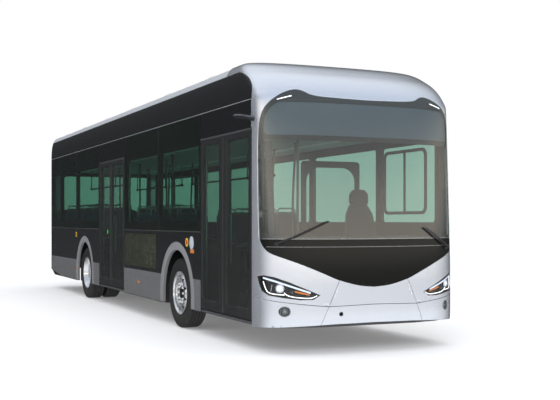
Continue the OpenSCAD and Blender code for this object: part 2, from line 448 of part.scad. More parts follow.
module rear_left_rims() color([0.75, 0.76, 0.78]) wheel_at(mid_x, rear_axle_s) rear_rim_pair();
module rear_right_rims() color([0.75, 0.76, 0.78]) wheel_at(-mid_x, rear_axle_s) rear_rim_pair();
module front_left_tyre() color([0.05, 0.05, 0.05]) wheel_at(tw_x, front_axle_s) tyre();
module front_right_tyre() color([0.05, 0.05, 0.05]) wheel_at(-tw_x, front_axle_s) tyre();
module rear_left_tyres() color([0.05, 0.05, 0.05]) { wheel_at(tw_x, rear_axle_s) tyre(); wheel_at(in_x, rear_axle_s) tyre(); }
module rear_right_tyres() color([0.05, 0.05, 0.05]) { wheel_at(-tw_x, rear_axle_s) tyre(); wheel_at(-in_x, rear_axle_s) tyre(); }

// ---- doors ------------------------------------------------------------------------
leaf_z0 = 352; leaf_z1 = door_top - 28; mech_x = 1185; pin_r = 10;
// near edge, far edge and direction of each leaf: [jamb, meeting edge, 1 or -1]
LF1 = [d1_a, d1_m - 5, 1]; LR1 = [d1_b, d1_m + 5, -1]; LF2 = [d2_a, d2_m - 5, 1]; LR2 = [d2_b, d2_m + 5, -1];
function post_s(l) = l[0] - 28 * l[2];
function arm_l(l) = abs(l[1] - 8 * l[2] - post_s(l)) / 2;
function pivot_s(l) = post_s(l) + l[2] * arm_l(l);
function lo(l) = min(l[0] + 12 * l[2], l[1]);
function hi(l) = max(l[0] + 12 * l[2], l[1]);
function see_lo(l) = l[2] > 0 ? l[0] + 100 : l[1] + 126;
function see_hi(l) = l[2] > 0 ? l[1] - 126 : l[0] - 80;
module leaf(l) color([0.20, 0.21, 0.22]) {
  p = pivot_s(l);
  splate(-1, hw - leaf_t, hw) difference() { translate([lo(l), leaf_z0]) square([hi(l) - lo(l), leaf_z1 - leaf_z0]); rrect(see_lo(l), 474, see_hi(l), 2424, 40); }
  for (z = [354, leaf_z1 - 18]) difference() {
    bx(-hw + leaf_t - 4, -mech_x + 22, p - 24, p + 24, z, z + 16);
    translate([-mech_x, p - body_l / 2, z - 10]) cylinder(r = pin_r + 0.05, h = 40);
  }
}
module glass(l) color([0.10, 0.22, 0.18, 0.5]) splate(-1, hw - leaf_t + 12, hw - 6) rrect(see_lo(l), 474, see_hi(l), 2424, 40);
module post(l) color([0.70, 0.71, 0.73]) {
  o = post_s(l); p = pivot_s(l);
  translate([-mech_x, o - body_l / 2, 330]) cylinder(r = 16, h = 2222);
  for (z = [332, door_top - 20]) {
    bx(-mech_x - 14, -mech_x + 14, min(o, p), max(o, p), z, z + 11);
    translate([-mech_x, p - body_l / 2, z]) cylinder(r = 18, h = 11);
  }
  translate([-mech_x, p - body_l / 2, 340]) cylinder(r = pin_r, h = 30);
  translate([-mech_x, p - body_l / 2, leaf_z1 - 18]) cylinder(r = pin_r, h = 30);
}
module front_door_front_leaf() leaf(LF1);
module front_door_rear_leaf() leaf(LR1);
module rear_door_front_leaf() leaf(LF2);
module rear_door_rear_leaf() leaf(LR2);
module front_door_front_glass() glass(LF1);
module front_door_rear_glass() glass(LR1);
module rear_door_front_glass() glass(LF2);
module rear_door_rear_glass() glass(LR2);
module front_door_front_post() post(LF1);
module front_door_rear_post() post(LR1);
module rear_door_front_post() post(LF2);
module rear_door_rear_post() post(LR2);

roof();
front_fascia();
front_bumper();
windscreen();
side_frames();
side_windows();
side_panels();
skirt_panels();
wheel_arch_trims();
cove_panels();
rear_panel();
rear_window();
rear_bumper();
rear_bumper_corner();
rear_tow_panel();
front_floor();
aisle_floor();
middle_floor();
floor_step();
raised_floor();
cab_platform();
chassis_members();
wheelhouses();
ceiling();
dashboard();
steering_wheel();
driver_seat();
driver_partition();
passenger_seats();
grab_rails();
headlights();
tail_lights();
camera_mirrors();
wipers();
drive_unit();
front_axle();
rear_axle();
front_left_knuckle();
front_right_knuckle();
front_left_rim();
front_right_rim();
rear_left_rims();
rear_right_rims();
front_left_tyre();
front_right_tyre();
rear_left_tyres();
rear_right_tyres();
front_door_front_leaf();
front_door_rear_leaf();
rear_door_front_leaf();
rear_door_rear_leaf();
front_door_front_glass();
front_door_rear_glass();
rear_door_front_glass();
rear_door_rear_glass();
front_door_front_post();
front_door_rear_post();
rear_door_front_post();
rear_door_rear_post();
rear_hatch();
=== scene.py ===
import bpy, math
import numpy as np
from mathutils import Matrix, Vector, geometry


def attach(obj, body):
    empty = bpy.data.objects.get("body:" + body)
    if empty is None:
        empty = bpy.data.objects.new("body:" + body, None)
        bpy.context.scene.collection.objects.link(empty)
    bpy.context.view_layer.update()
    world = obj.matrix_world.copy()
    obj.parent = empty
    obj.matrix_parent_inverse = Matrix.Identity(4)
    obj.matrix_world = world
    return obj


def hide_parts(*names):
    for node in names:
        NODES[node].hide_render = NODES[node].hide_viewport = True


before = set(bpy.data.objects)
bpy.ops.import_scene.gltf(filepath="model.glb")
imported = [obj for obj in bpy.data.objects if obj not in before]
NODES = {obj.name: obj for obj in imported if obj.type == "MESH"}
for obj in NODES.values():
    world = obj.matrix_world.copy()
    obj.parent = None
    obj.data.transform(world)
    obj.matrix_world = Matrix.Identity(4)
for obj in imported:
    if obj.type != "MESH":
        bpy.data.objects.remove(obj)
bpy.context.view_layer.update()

LEN = 12.2
HALF = LEN / 2
rng = np.random.default_rng(7)

# ------------------------------------------------------------------ camera
scn = bpy.context.scene
scn.view_settings.view_transform = "Standard"
cam_data = bpy.data.cameras.new("camera")
cam = bpy.data.objects.new("camera", cam_data)
scn.collection.objects.link(cam)
scn.camera = cam
cam.location = (-5.366, -15.32, 1.467)
cam.rotation_euler = (math.radians(90), 0, math.radians(-24.46))
cam_data.sensor_width = 36
cam_data.lens = 945 / 560 * 36
cam_data.shift_y = 0.038
cam_data.clip_end = 300

# ------------------------------------------------------------------ materials
def new_mat(name):
    m = bpy.data.materials.new(name)
    m.use_nodes = True
    nt = m.node_tree
    nt.nodes.clear()
    out = nt.nodes.new("ShaderNodeOutputMaterial")
    return m, nt, out

def add(nt, kind, **kw):
    n = nt.nodes.new(kind)
    for k, v in kw.items():
        setattr(n, k, v)
    return n

def mix_rgb(nt, fac, a, b, mode="MIX"):
    n = add(nt, "ShaderNodeMix", data_type="RGBA", blend_type=mode)
    for sock, v in ((n.inputs[0], fac), (n.inputs[6], a), (n.inputs[7], b)):
        if hasattr(v, "links"):
            nt.links.new(v, sock)
        elif isinstance(v, (tuple, list)):
            sock.default_value = (*v[:3], 1.0)
        else:
            sock.default_value = v
    return n.outputs[2]

def map_range(nt, v, a, b, c, d):
    n = add(nt, "ShaderNodeMapRange")
    nt.links.new(v, n.inputs[0])
    for i, x in enumerate((a, b, c, d)):
        n.inputs[i + 1].default_value = x
    return n.outputs[0]

def noise(nt, vec, scale, detail=3, rough=0.55):
    n = add(nt, "ShaderNodeTexNoise")
    n.inputs["Scale"].default_value = scale
    n.inputs["Detail"].default_value = detail
    n.inputs["Roughness"].default_value = rough
    nt.links.new(vec, n.inputs["Vector"])
    return n.outputs["Fac"]

def mat(name, color, rough=0.5, metal=0.0, coat=0.0, coat_rough=0.03, var=0.05, var_scale=1.2, rvar=0.05, rscale=14.0,
        fine=None, fine_amt=0.0, bump=0.0, bump_scale=200.0, bump_kind="noise", dirt=0.0, dirt_color=(0.20, 0.19, 0.17), dirt_top=0.9, spec=None, ior=None, emit=None, emit_strength=0.0, sheen=0.0, stretch=None):
    """A Principled surface whose colour, roughness and bump vary with the place on the object."""
    m, nt, out = new_mat(name)
    b = add(nt, "ShaderNodeBsdfPrincipled")
    nt.links.new(b.outputs[0], out.inputs[0])
    tc = add(nt, "ShaderNodeTexCoord")
    vec = tc.outputs["Object"]
    if stretch:
        mp = add(nt, "ShaderNodeMapping")
        mp.inputs["Scale"].default_value = stretch
        nt.links.new(vec, mp.inputs[0])
        svec = mp.outputs[0]
    else:
        svec = vec
    lo = tuple(max(0.0, c * (1 - var)) for c in color)
    hi = tuple(min(1.0, c * (1 + var)) for c in color)
    col = mix_rgb(nt, noise(nt, svec, var_scale, 4), lo, hi)
    if fine:
        f = noise(nt, svec, fine, 2)
        f = map_range(nt, f, 0.35, 0.65, 0.0, 1.0)
        col = mix_rgb(nt, f, col, mix_rgb(nt, fine_amt, col, (0, 0, 0)))
    if dirt > 0:
        sep = add(nt, "ShaderNodeSeparateXYZ")
        nt.links.new(vec, sep.inputs[0])
        h = map_range(nt, sep.outputs[2], 0.25, dirt_top, 1.0, 0.0)
        n2 = map_range(nt, noise(nt, vec, 5.0, 5), 0.3, 0.75, 0.0, dirt)
        mu = add(nt, "ShaderNodeMath", operation="MULTIPLY")
        nt.links.new(h, mu.inputs[0]); nt.links.new(n2, mu.inputs[1])
        col = mix_rgb(nt, mu.outputs[0], col, dirt_color)
    nt.links.new(col, b.inputs["Base Color"])
    r = map_range(nt, noise(nt, svec, rscale, 4), 0.3, 0.7, max(0.0, rough - rvar), min(1.0, rough + rvar))
    nt.links.new(r, b.inputs["Roughness"])
    b.inputs["Metallic"].default_value = metal
    b.inputs["Coat Weight"].default_value = coat
    b.inputs["Coat Roughness"].default_value = coat_rough
    if spec is not None: b.inputs["Specular IOR Level"].default_value = spec
    if ior is not None: b.inputs["IOR"].default_value = ior
    if sheen: b.inputs["Sheen Weight"].default_value = sheen
    if emit:
        b.inputs["Emission Color"].default_value = (*emit, 1)
        b.inputs["Emission Strength"].default_value = emit_strength
    if bump > 0:
        bp = add(nt, "ShaderNodeBump")
        bp.inputs["Strength"].default_value = 1.0
        bp.inputs["Distance"].default_value = bump
        if bump_kind == "voronoi":
            v = add(nt, "ShaderNodeTexVoronoi")
            v.inputs["Scale"].default_value = bump_scale
            nt.links.new(svec, v.inputs["Vector"])
            src = v.outputs["Distance"]
        elif bump_kind == "weave":
            w1 = add(nt, "ShaderNodeTexWave", wave_type="BANDS", bands_direction="X"); w1.inputs["Scale"].default_value = bump_scale
            w2 = add(nt, "ShaderNodeTexWave", wave_type="BANDS", bands_direction="Z"); w2.inputs["Scale"].default_value = bump_scale
            nt.links.new(vec, w1.inputs[0]); nt.links.new(vec, w2.inputs[0])
            mu = add(nt, "ShaderNodeMath", operation="MULTIPLY")
            nt.links.new(w1.outputs["Fac"], mu.inputs[0]); nt.links.new(w2.outputs["Fac"], mu.inputs[1])
            src = mu.outputs[0]
        else:
            src = noise(nt, svec, bump_scale, 3)
        nt.links.new(src, bp.inputs["Height"])
        nt.links.new(bp.outputs[0], b.inputs["Normal"])
    return m

def glass_mat(name, tint, haze_and_painted_reflection=0.0, haze_and_reflection_color=(0.1, 0.12, 0.12), rough=0.01, mirror=1.0):
    """A pane: light passes straight through, tinted, and the surface mirrors by Fresnel."""
    m, nt, out = new_mat(name)
    tr = add(nt, "ShaderNodeBsdfTransparent")
    tc = add(nt, "ShaderNodeTexCoord")
    n = noise(nt, tc.outputs["Object"], 1.3, 3)
    lo = tuple(c * 0.96 for c in tint); hi = tuple(min(1, c * 1.04) for c in tint)
    nt.links.new(mix_rgb(nt, n, lo, hi), tr.inputs[0])
    base = tr.outputs[0]
    # diffuse veil over the pane: haze, and on the windscreen a painted reflection that brightens the glass
    if haze_and_painted_reflection > 0:
        df = add(nt, "ShaderNodeBsdfDiffuse")
        df.inputs[0].default_value = (*haze_and_reflection_color, 1)
        mx = add(nt, "ShaderNodeMixShader")
        nt.links.new(map_range(nt, noise(nt, tc.outputs["Object"], 3.0, 5), 0.3, 0.7, haze_and_painted_reflection * 0.85, haze_and_painted_reflection * 1.15), mx.inputs[0])
        nt.links.new(base, mx.inputs[1]); nt.links.new(df.outputs[0], mx.inputs[2])
        base = mx.outputs[0]
    gl = add(nt, "ShaderNodeBsdfGlossy")
    gl.inputs["Color"].default_value = (mirror, mirror, mirror, 1)
    gl.inputs["Roughness"].default_value = rough
    fr = add(nt, "ShaderNodeFresnel")
    fr.inputs["IOR"].default_value = 1.5
    mx = add(nt, "ShaderNodeMixShader")
    nt.links.new(fr.outputs[0], mx.inputs[0])
    nt.links.new(base, mx.inputs[1]); nt.links.new(gl.outputs[0], mx.inputs[2])
    nt.links.new(mx.outputs[0], out.inputs[0])
    return m

M = {}
M["silver"] = mat("paint_silver", (0.79, 0.83, 0.90), rough=0.25, metal=0.72, coat=1.0, coat_rough=0.04, var=0.015, var_scale=0.6, rvar=0.01, rscale=3, dirt=0.06, dirt_top=0.7)
M["black_gloss"] = mat("paint_black", (0.012, 0.013, 0.014), rough=0.25, coat=0.7, coat_rough=0.03, var=0.04, var_scale=0.8, rvar=0.02, rscale=8, dirt=0.08, dirt_top=1.3)
M["mask_black"] = mat("mask_black", (0.010, 0.010, 0.009), rough=0.10, var=0.04, var_scale=0.8, rvar=0.01, spec=0.15)
M["roof_paint"] = mat("paint_roof_silver", (0.52, 0.55, 0.59), rough=0.55, metal=0.25, coat=0.12, coat_rough=0.2, var=0.03, var_scale=0.8, rvar=0.02, rscale=4)
M["side_line"] = mat("trim_line_pale", (0.34, 0.35, 0.36), rough=0.4, metal=0.1, var=0.04, rvar=0.04)
M["waist"] = mat("trim_line_dim", (0.13, 0.135, 0.14), rough=0.4, metal=0.1, var=0.04, rvar=0.04)
M["gasket"] = mat("gasket_grey", (0.065, 0.067, 0.070), rough=0.6, var=0.08, rvar=0.05)
M["wing_dark"] = mat("camera_wing_paint", (0.045, 0.050, 0.062), rough=0.3, coat=0.5, var=0.05, rvar=0.03)
M["header"] = mat("door_header_grey", (0.115, 0.118, 0.124), rough=0.36, metal=0.5, var=0.05, rvar=0.04)
M["light_strip"] = mat("lamp_light_strip", (0.70, 0.78, 0.90), rough=0.2, coat=0.5, var=0.03, emit=(0.75, 0.85, 1.0), emit_strength=0.35)
M["skirt"] = mat("paint_skirt_grey", (0.17, 0.175, 0.185), rough=0.38, metal=0.1, coat=0.25, coat_rough=0.15, var=0.05, rvar=0.06, dirt=0.45, dirt_top=0.75, bump=0.00004, bump_scale=500)
M["arch"] = mat("arch_moulding_grey", (0.25, 0.255, 0.265), rough=0.45, coat=0.1, coat_rough=0.2, var=0.05, rvar=0.06, dirt=0.4, dirt_top=1.1, bump=0.0001, bump_scale=900)
M["frame"] = mat("frame_black", (0.010, 0.011, 0.012), rough=0.5, var=0.15, rvar=0.1, bump=0.00005, bump_scale=300, dirt=0.1)
M["door"] = mat("door_anodised_grey", (0.060, 0.062, 0.066), rough=0.34, metal=0.6, var=0.08, rvar=0.06, rscale=40, bump=0.00004, bump_scale=700, dirt=0.25, dirt_top=0.7)
M["rubber"] = mat("rubber_black", (0.016, 0.016, 0.017), rough=0.65, var=0.15, rvar=0.1, bump=0.0002, bump_scale=250, dirt=0.3)
M["trim"] = mat("trim_black", (0.020, 0.020, 0.021), rough=0.42, var=0.12, rvar=0.08, bump=0.0001, bump_scale=700)
M["line"] = mat("trim_light", (0.42, 0.44, 0.46), rough=0.3, metal=0.8, var=0.06, rvar=0.05)
M["steel"] = mat("steel_satin", (0.50, 0.51, 0.53), rough=0.28, metal=1.0, var=0.06, rvar=0.08, rscale=120, stretch=(1, 1, 8))
M["pole"] = mat("pole_satin_steel", (0.20, 0.205, 0.21), rough=0.35, metal=0.9, var=0.08, rvar=0.08, rscale=90, stretch=(1, 1, 0.2))
M["chrome"] = mat("rim_polished", (0.88, 0.89, 0.91), rough=0.20, metal=0.82, var=0.03, var_scale=8, rvar=0.03, rscale=40, dirt=0.06, dirt_top=1.0)
M["bolt"] = mat("nut_chrome", (0.90, 0.91, 0.92), rough=0.16, metal=0.8, var=0.04, var_scale=30, rvar=0.04, rscale=200)
M["hub"] = mat("hub_dark", (0.014, 0.014, 0.015), rough=0.55, metal=0.2, var=0.25, rvar=0.12, bump=0.0004, bump_scale=120)
M["tyre"] = mat("tyre_rubber", (0.022, 0.022, 0.023), rough=0.72, var=0.18, var_scale=6, rvar=0.1, rscale=40, fine=260, fine_amt=0.25, bump=0.0004, bump_scale=300, dirt=0.25, dirt_top=0.6, dirt_color=(0.10, 0.095, 0.085))
M["glass_side"] = glass_mat("glass_side_green", (0.30, 0.52, 0.42))
M["glass_door"] = glass_mat("glass_door_green", (0.30, 0.50, 0.41))
# the windscreen's veil is a painted reflection
M["glass_front"] = glass_mat("glass_front_clear", (0.66, 0.74, 0.72), haze_and_painted_reflection=0.06, haze_and_reflection_color=(0.35, 0.37, 0.40))
M["glass_low"] = glass_mat("glass_low_tint", (0.30, 0.36, 0.27))
M["lens"] = glass_mat("lamp_lens_clear", (0.93, 0.95, 0.96))
M["frit"] = mat("frit_black", (0.010, 0.011, 0.012), rough=0.4, coat=0.2, var=0.04, var_scale=0.8, rvar=0.03)
M["blind"] = mat("display_box_grey", (0.10, 0.125, 0.165), rough=0.5, var=0.05, rvar=0.05, bump=0.0001, bump_scale=60)
M["floor"] = mat("floor_vinyl", (0.10, 0.105, 0.11), rough=0.55, var=0.12, fine=300, fine_amt=0.4, rvar=0.1, bump=0.0004, bump_scale=250)
M["lining"] = mat("lining_light", (0.48, 0.49, 0.50), rough=0.6, var=0.04, bump=0.0002, bump_scale=400)
M["lamp_panel"] = mat("ceiling_lamp_panel", (0.80, 0.81, 0.82), rough=0.4, var=0.02, bump=0.0003, bump_scale=150)
M["dash"] = mat("dash_plastic", (0.035, 0.037, 0.040), rough=0.55, var=0.1, rvar=0.08, bump=0.0004, bump_scale=700, bump_kind="voronoi")
M["seat"] = mat("seat_moquette", (0.035, 0.055, 0.11), rough=0.95, var=0.35, var_scale=30, fine=160, fine_amt=0.5, bump=0.0008, bump_scale=90, bump_kind="weave", sheen=0.4)
M["seat_shell"] = mat("seat_shell_grey", (0.07, 0.075, 0.085), rough=0.5, var=0.08, bump=0.0002, bump_scale=500)
M["drseat"] = mat("driver_seat_fabric", (0.030, 0.031, 0.034), rough=0.9, var=0.25, var_scale=40, bump=0.0008, bump_scale=110, bump_kind="weave", sheen=0.3)
M["axle"] = mat("axle_paint", (0.030, 0.030, 0.031), rough=0.55, var=0.25, rvar=0.12, bump=0.0006, bump_scale=60, dirt=0.5)
M["housing"] = mat("wheelhouse_lining", (0.020, 0.020, 0.021), rough=0.85, var=0.3, bump=0.001, bump_scale=90, dirt=0.4, dirt_color=(0.08, 0.075, 0.07))
M["lamp_dark"] = mat("lamp_housing", (0.03, 0.03, 0.033), rough=0.25, metal=0.3, var=0.1, bump=0.0002, bump_scale=400)
M["lamp_chrome"] = mat("lamp_reflector", (0.80, 0.84, 0.90), rough=0.16, metal=1.0, var=0.03, rvar=0.03)
M["drl"] = mat("drl_white", (0.95, 0.96, 0.97), rough=0.3, var=0.02, emit=(1, 1, 1), emit_strength=1.2)
M["amber"] = mat("lens_amber", (0.70, 0.22, 0.04), rough=0.15, coat=0.6, var=0.08, bump=0.0006, bump_scale=260, bump_kind="voronoi", emit=(1.0, 0.3, 0.03), emit_strength=0.03)
M["red"] = mat("lens_red", (0.55, 0.01, 0.01), rough=0.15, coat=0.8, var=0.08, bump=0.0006, bump_scale=260, bump_kind="voronoi", emit=(1, 0.02, 0.02), emit_strength=0.12)
M["yellow"] = mat("ring_yellow", (0.85, 0.62, 0.03), rough=0.3, var=0.05)
M["pale"] = mat("disc_pale", (0.60, 0.66, 0.74), rough=0.25, metal=0.1, coat=0.6, var=0.04)
M["green"] = mat("ring_green", (0.05, 0.75, 0.12), rough=0.3, var=0.05, emit=(0.05, 0.9, 0.15), emit_strength=0.7)
M["white_lamp"] = mat("marker_white", (0.95, 0.96, 1.0), rough=0.2, var=0.02, emit=(1, 1, 1), emit_strength=1.3)
M["dark_screen"] = mat("screen_dark", (0.01, 0.012, 0.015), rough=0.12, coat=0.5, var=0.1)
M["plate"] = mat("plate_blank", (0.72, 0.72, 0.70), rough=0.4, var=0.03, bump=0.0002, bump_scale=60)

# ------------------------------------------------------------------ mesh helpers
def make(name, verts, faces, mats, body="body", smooth=True, sharp=None, face_mat=None, rep=()):
    me = bpy.data.meshes.new(name)
    me.from_pydata([tuple(map(float, v)) for v in verts], [], [list(map(int, f)) for f in faces])
    me.validate(verbose=False)
    if not isinstance(mats, (list, tuple)): mats = [mats]
    for m in mats: me.materials.append(M[m] if isinstance(m, str) else m)
    if face_mat is not None and len(face_mat) == len(me.polygons):
        me.polygons.foreach_set("material_index", list(map(int, face_mat)))
    me.polygons.foreach_set("use_smooth", [bool(smooth)] * len(me.polygons))
    if sharp:
        att = me.attributes.new("sharp_edge", "BOOLEAN", "EDGE")
        s = set(tuple(sorted(e)) for e in sharp)
        vals = [tuple(sorted(e.vertices)) in s for e in me.edges]
        att.data.foreach_set("value", vals)
    me.update()
    ob = bpy.data.objects.new(name, me)
    scn.collection.objects.link(ob)
    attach(ob, body)
    if rep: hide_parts(*rep)
    return ob

class Mesh:
    """Gathers closed parts into one piece."""
    def __init__(self): self.v = []; self.f = []; self.m = []; self.sharp = []
    def add(self, v, f, m=0, sharp=()):
        o = len(self.v)
        self.v.extend([tuple(map(float, p)) for p in v])
        self.f.extend([[int(i) + o for i in q] for q in f])
        self.m.extend([m] * len(f))
        self.sharp.extend([(int(a) + o, int(b) + o) for a, b in sharp])
        return self
    def to(self, name, mats, body="body", slot=None, smooth=True, rep=(), bevel=0, segs=2, angle=35):
        ob = make(name, self.v, self.f, mats, body, smooth, self.sharp, self.m, rep)
        if bevel: add_bevel(ob, bevel, segs, angle)
        return ob

def add_bevel(ob, w, segs=2, angle=35):
    b = ob.modifiers.new("bevel", "BEVEL")
    b.width = w; b.segments = segs; b.limit_method = "ANGLE"; b.angle_limit = math.radians(angle); b.harden_normals = False
    b.use_clamp_overlap = True
    wn = ob.modifiers.new("wn", "WEIGHTED_NORMAL"); wn.keep_sharp = True
    return ob

def Y(s): return s - HALF

def box_part(x0, x1, s0, s1, z0, z1):
    x0, x1 = min(x0, x1), max(x0, x1); s0, s1 = min(s0, s1), max(s0, s1); z0, z1 = min(z0, z1), max(z0, z1)
    v = [(x, Y(s), z) for x in (x0, x1) for s in (s0, s1) for z in (z0, z1)]
    f = [(0, 1, 3, 2), (4, 6, 7, 5), (0, 4, 5, 1), (2, 3, 7, 6), (0, 2, 6, 4), (1, 5, 7, 3)]
    return v, f

def frame_of(d):
    d = np.array(d, float); d /= np.linalg.norm(d)
    u = np.cross(d, (0, 0, 1.0))
    if np.linalg.norm(u) < 1e-6: u = np.array((1.0, 0, 0))
    u /= np.linalg.norm(u)
    return d, u, np.cross(d, u)

def tube(path, r, n=12, closed=False, cap=True):
    """Round tube along points; r may be one number or one per point."""
    P = np.array(path, float); k = len(P)
    rr = np.full(k, r) if np.isscalar(r) else np.array(r, float)
    T = np.zeros_like(P)
    if closed: T = np.roll(P, -1, 0) - np.roll(P, 1, 0)
    else:
        T[1:-1] = P[2:] - P[:-2]; T[0] = P[1] - P[0]; T[-1] = P[-1] - P[-2]
    T /= np.linalg.norm(T, axis=1)[:, None]
    _, u, w = frame_of(T[0])
    v = []; U = u
    for i in range(k):
        U = U - T[i] * np.dot(U, T[i]); U /= np.linalg.norm(U); W = np.cross(T[i], U)
        for j in range(n):
            a = 2 * math.pi * j / n
            v.append(P[i] + rr[i] * (math.cos(a) * U + math.sin(a) * W))
    f = []
    m = k if closed else k - 1
    for i in range(m):
        for j in range(n):
            a = i * n + j; b = i * n + (j + 1) % n; c = ((i + 1) % k) * n + (j + 1) % n; d = ((i + 1) % k) * n + j
            f.append((a, b, c, d))
    if cap and not closed:
        f.append(tuple(range(n - 1, -1, -1))); f.append(tuple((k - 1) * n + j for j in range(n)))
    return v, f

def rod(p, q, r, n=12): return tube([p, q], r, n)

def smooth_path(pts, rad=0.05, n=5):
    """Polyline with its corners rounded."""
    P = [np.array(p, float) for p in pts]; out = [P[0]]
    for i in range(1, len(P) - 1):
        a = P[i - 1] - P[i]; b = P[i + 1] - P[i]
        la, lb = np.linalg.norm(a), np.linalg.norm(b)
        r = min(rad, la * 0.45, lb * 0.45)
        A = P[i] + a / la * r; B = P[i] + b / lb * r
        for t in np.linspace(0, 1, n): out.append((1 - t) ** 2 * A + 2 * t * (1 - t) * P[i] + t * t * B)
    out.append(P[-1])
    return out

def revolve(profile, centre, axis, n=48, arc=None):
    """Closed ring from a closed profile of (radius, along) points turned about axis through centre."""
    d, u, w = frame_of(axis); c = np.array(centre, float); k = len(profile)
    v = []
    for i in range(n):
        a = 2 * math.pi * i / n
        e = math.cos(a) * u + math.sin(a) * w
        for r, t in profile: v.append(c + e * r + d * t)
    f = []
    for i in range(n):
        for j in range(k):
            a = i * k + j; b = i * k + (j + 1) % k; cc = ((i + 1) % n) * k + (j + 1) % k; dd = ((i + 1) % n) * k + j
            f.append((a, dd, cc, b))
    return v, f

def lathe(profile, centre, axis, n=32):
    """Closed solid from an open profile that starts and ends on the axis."""
    d, u, w = frame_of(axis); c = np.array(centre, float)
    v = [c + d * profile[0][1]]; f = []
    mid = profile[1:-1]; k = len(mid)
    for i in range(n):
        a = 2 * math.pi * i / n
        e = math.cos(a) * u + math.sin(a) * w
        for r, t in mid: v.append(c + e * r + d * t)
    v.append(c + d * profile[-1][1]); last = len(v) - 1
    for i in range(n):
        a = 1 + i * k; b = 1 + ((i + 1) % n) * k
        f.append((0, b, a))
        for j in range(k - 1): f.append((a + j, b + j, b + j + 1, a + j + 1))
        f.append((a + k - 1, b + k - 1, last))
    return v, f

# ------------------------------------------------------------------ the body's surfaces
def pchip(xs, ys):
    xs = np.array(xs, float); ys = np.array(ys, float)
    h = np.diff(xs); d = np.diff(ys) / h
    m = np.zeros(len(xs))
    for i in range(1, len(xs) - 1):
        if d[i - 1] * d[i] > 0:
            w1 = 2 * h[i] + h[i - 1]; w2 = h[i] + 2 * h[i - 1]
            m[i] = (w1 + w2) / (w1 / d[i - 1] + w2 / d[i])
    m[0], m[-1] = d[0], d[-1]
    def fn(x):
        x = np.clip(np.asarray(x, float), xs[0], xs[-1])
        i = np.clip(np.searchsorted(xs, x, side="right") - 1, 0, len(xs) - 2)
        t = (x - xs[i]) / h[i]
        return ((2 * t**3 - 3 * t**2 + 1) * ys[i] + (t**3 - 2 * t**2 + t) * h[i] * m[i] + (-2 * t**3 + 3 * t**2) * ys[i + 1] + (t**3 - t**2) * h[i] * m[i + 1])
    return fn

mm = lambda pts: [(a / 1000.0, b / 1000.0) for a, b in pts]
def cr(h): return 3210 + 180 * h
TOP = 3.390
SEC = mm([(1275, 2840), (1274, 2930), (1271, 3010), (1264, 3080), (1252, 3150), (1234, 3210), (1205, cr(0.323)), (1160, cr(0.569)), (1090, cr(0.723)), (960, cr(0.823)), (760, cr(0.9)), (480, cr(0.962)), (200, cr(0.992)), (0, 3390)])
FRONT = mm([(290, 20), (300, 18), (360, 8), (440, 2), (560, 0), (760, 1), (900, 6), (1060, 15), (1200, 26), (1330, 37), (1600, 64), (2000, 104), (2400, 147), (2600, 172), (2740, 193), (2840, 212), (2900, 235), (2960, 272), (3020, 322), (3080, 386), (3140, 470), (3190, 560), (cr(0.154), 655), (cr(0.385), 750), (cr(0.569), 850), (cr(0.708), 950), (cr(0.815), 1060), (cr(0.892), 1160), (cr(0.946), 1250), (cr(0.977), 1330), (3390, 1420)])
NEND = mm([(290, 560), (2740, 560), (2840, 566), (2930, 640), (3010, 720), (3080, 800), (3150, 900), (3210, 1000), (cr(0.323), 1080), (cr(0.569), 1150), (cr(0.723), 1200), (cr(0.823), 1260), (cr(0.9), 1310), (cr(0.962), 1360), (3390, 1430)])
FZ = pchip(*zip(*FRONT)); EZ = pchip(*zip(*NEND))
WZs = pchip([z for x, z in SEC], [x for x, z in SEC])
def WZ(z): return np.where(np.asarray(z) <= 2.84, 1.275, WZs(z))
NE = 2.8
def _q_table():
    a = np.linspace(0, math.pi / 2, 4001)
    x = 1.275 * np.sin(a) ** (2 / NE); s = 0.06 + 0.5 * (1 - np.cos(a) ** (2 / NE))
    q = np.concatenate([[0], np.cumsum(np.hypot(np.diff(x), np.diff(s)))])
    return a, q
A_T, Q_T = _q_table()
QR = Q_T[-1]
_z = np.linspace(0.29, TOP - 0.0002, 3000)
_v = np.concatenate([[0], np.cumsum(np.hypot(np.diff(_z), np.diff(FZ(_z))))])
def v_of_z(z): return np.interp(z, _z, _v)
def z_of_v(v): return np.interp(v, _v, _z)

class Nose:
    """The rounded front: q runs round it from the centre line, v up it."""
    def P(self, q, v):
        q = np.asarray(q, float); z = z_of_v(v)
        w = WZ(z); f = FZ(z); e = np.maximum(EZ(z), f + 0.006)
        aq = np.abs(q); a = np.interp(aq, Q_T, A_T)
        x = w * np.sin(a) ** (2 / NE); s = f + (e - f) * (1 - np.clip(np.cos(a), 0, 1) ** (2 / NE)) + np.maximum(aq - QR, 0)
        return np.stack([np.sign(q) * x, s - HALF, z], -1)
    def N(self, q, v):
        h = 0.004
        q = np.asarray(q, float); v = np.asarray(v, float)
        v1 = np.minimum(v + h, _v[-1]); v0 = np.maximum(v - h, 0)
        dq = self.P(q + h, v) - self.P(q - h, v); dv = self.P(q, v1) - self.P(q, v0)
        n = np.cross(dq, dv)
        l = np.linalg.norm(n, axis=-1, keepdims=True); n = n / np.maximum(l, 1e-12)
        return n
    @staticmethod
    def xz(pts):
        """Front-view points (x, z) in metres to (q, v)."""
        out = []
        for x, z in pts:
            S = min(abs(x) / float(WZ(z)), 1.0) ** (NE / 2)
            out.append((math.copysign(float(np.interp(math.asin(S), A_T, Q_T)), x), float(v_of_z(z))))
        return out
    @staticmethod
    def sz(k, pts):
        """Side-view points (s, z) on side k to (q, v)."""
        out = []
        for s, z in pts:
            f = float(FZ(z)); e = float(EZ(z))
            if s >= e: q = QR + s - e
            else:
                C = max((e - s) / (e - f), 0) ** (NE / 2)
                q = float(np.interp(math.acos(min(C, 1)), A_T, Q_T))
            out.append((k * q, float(v_of_z(z))))
        return out

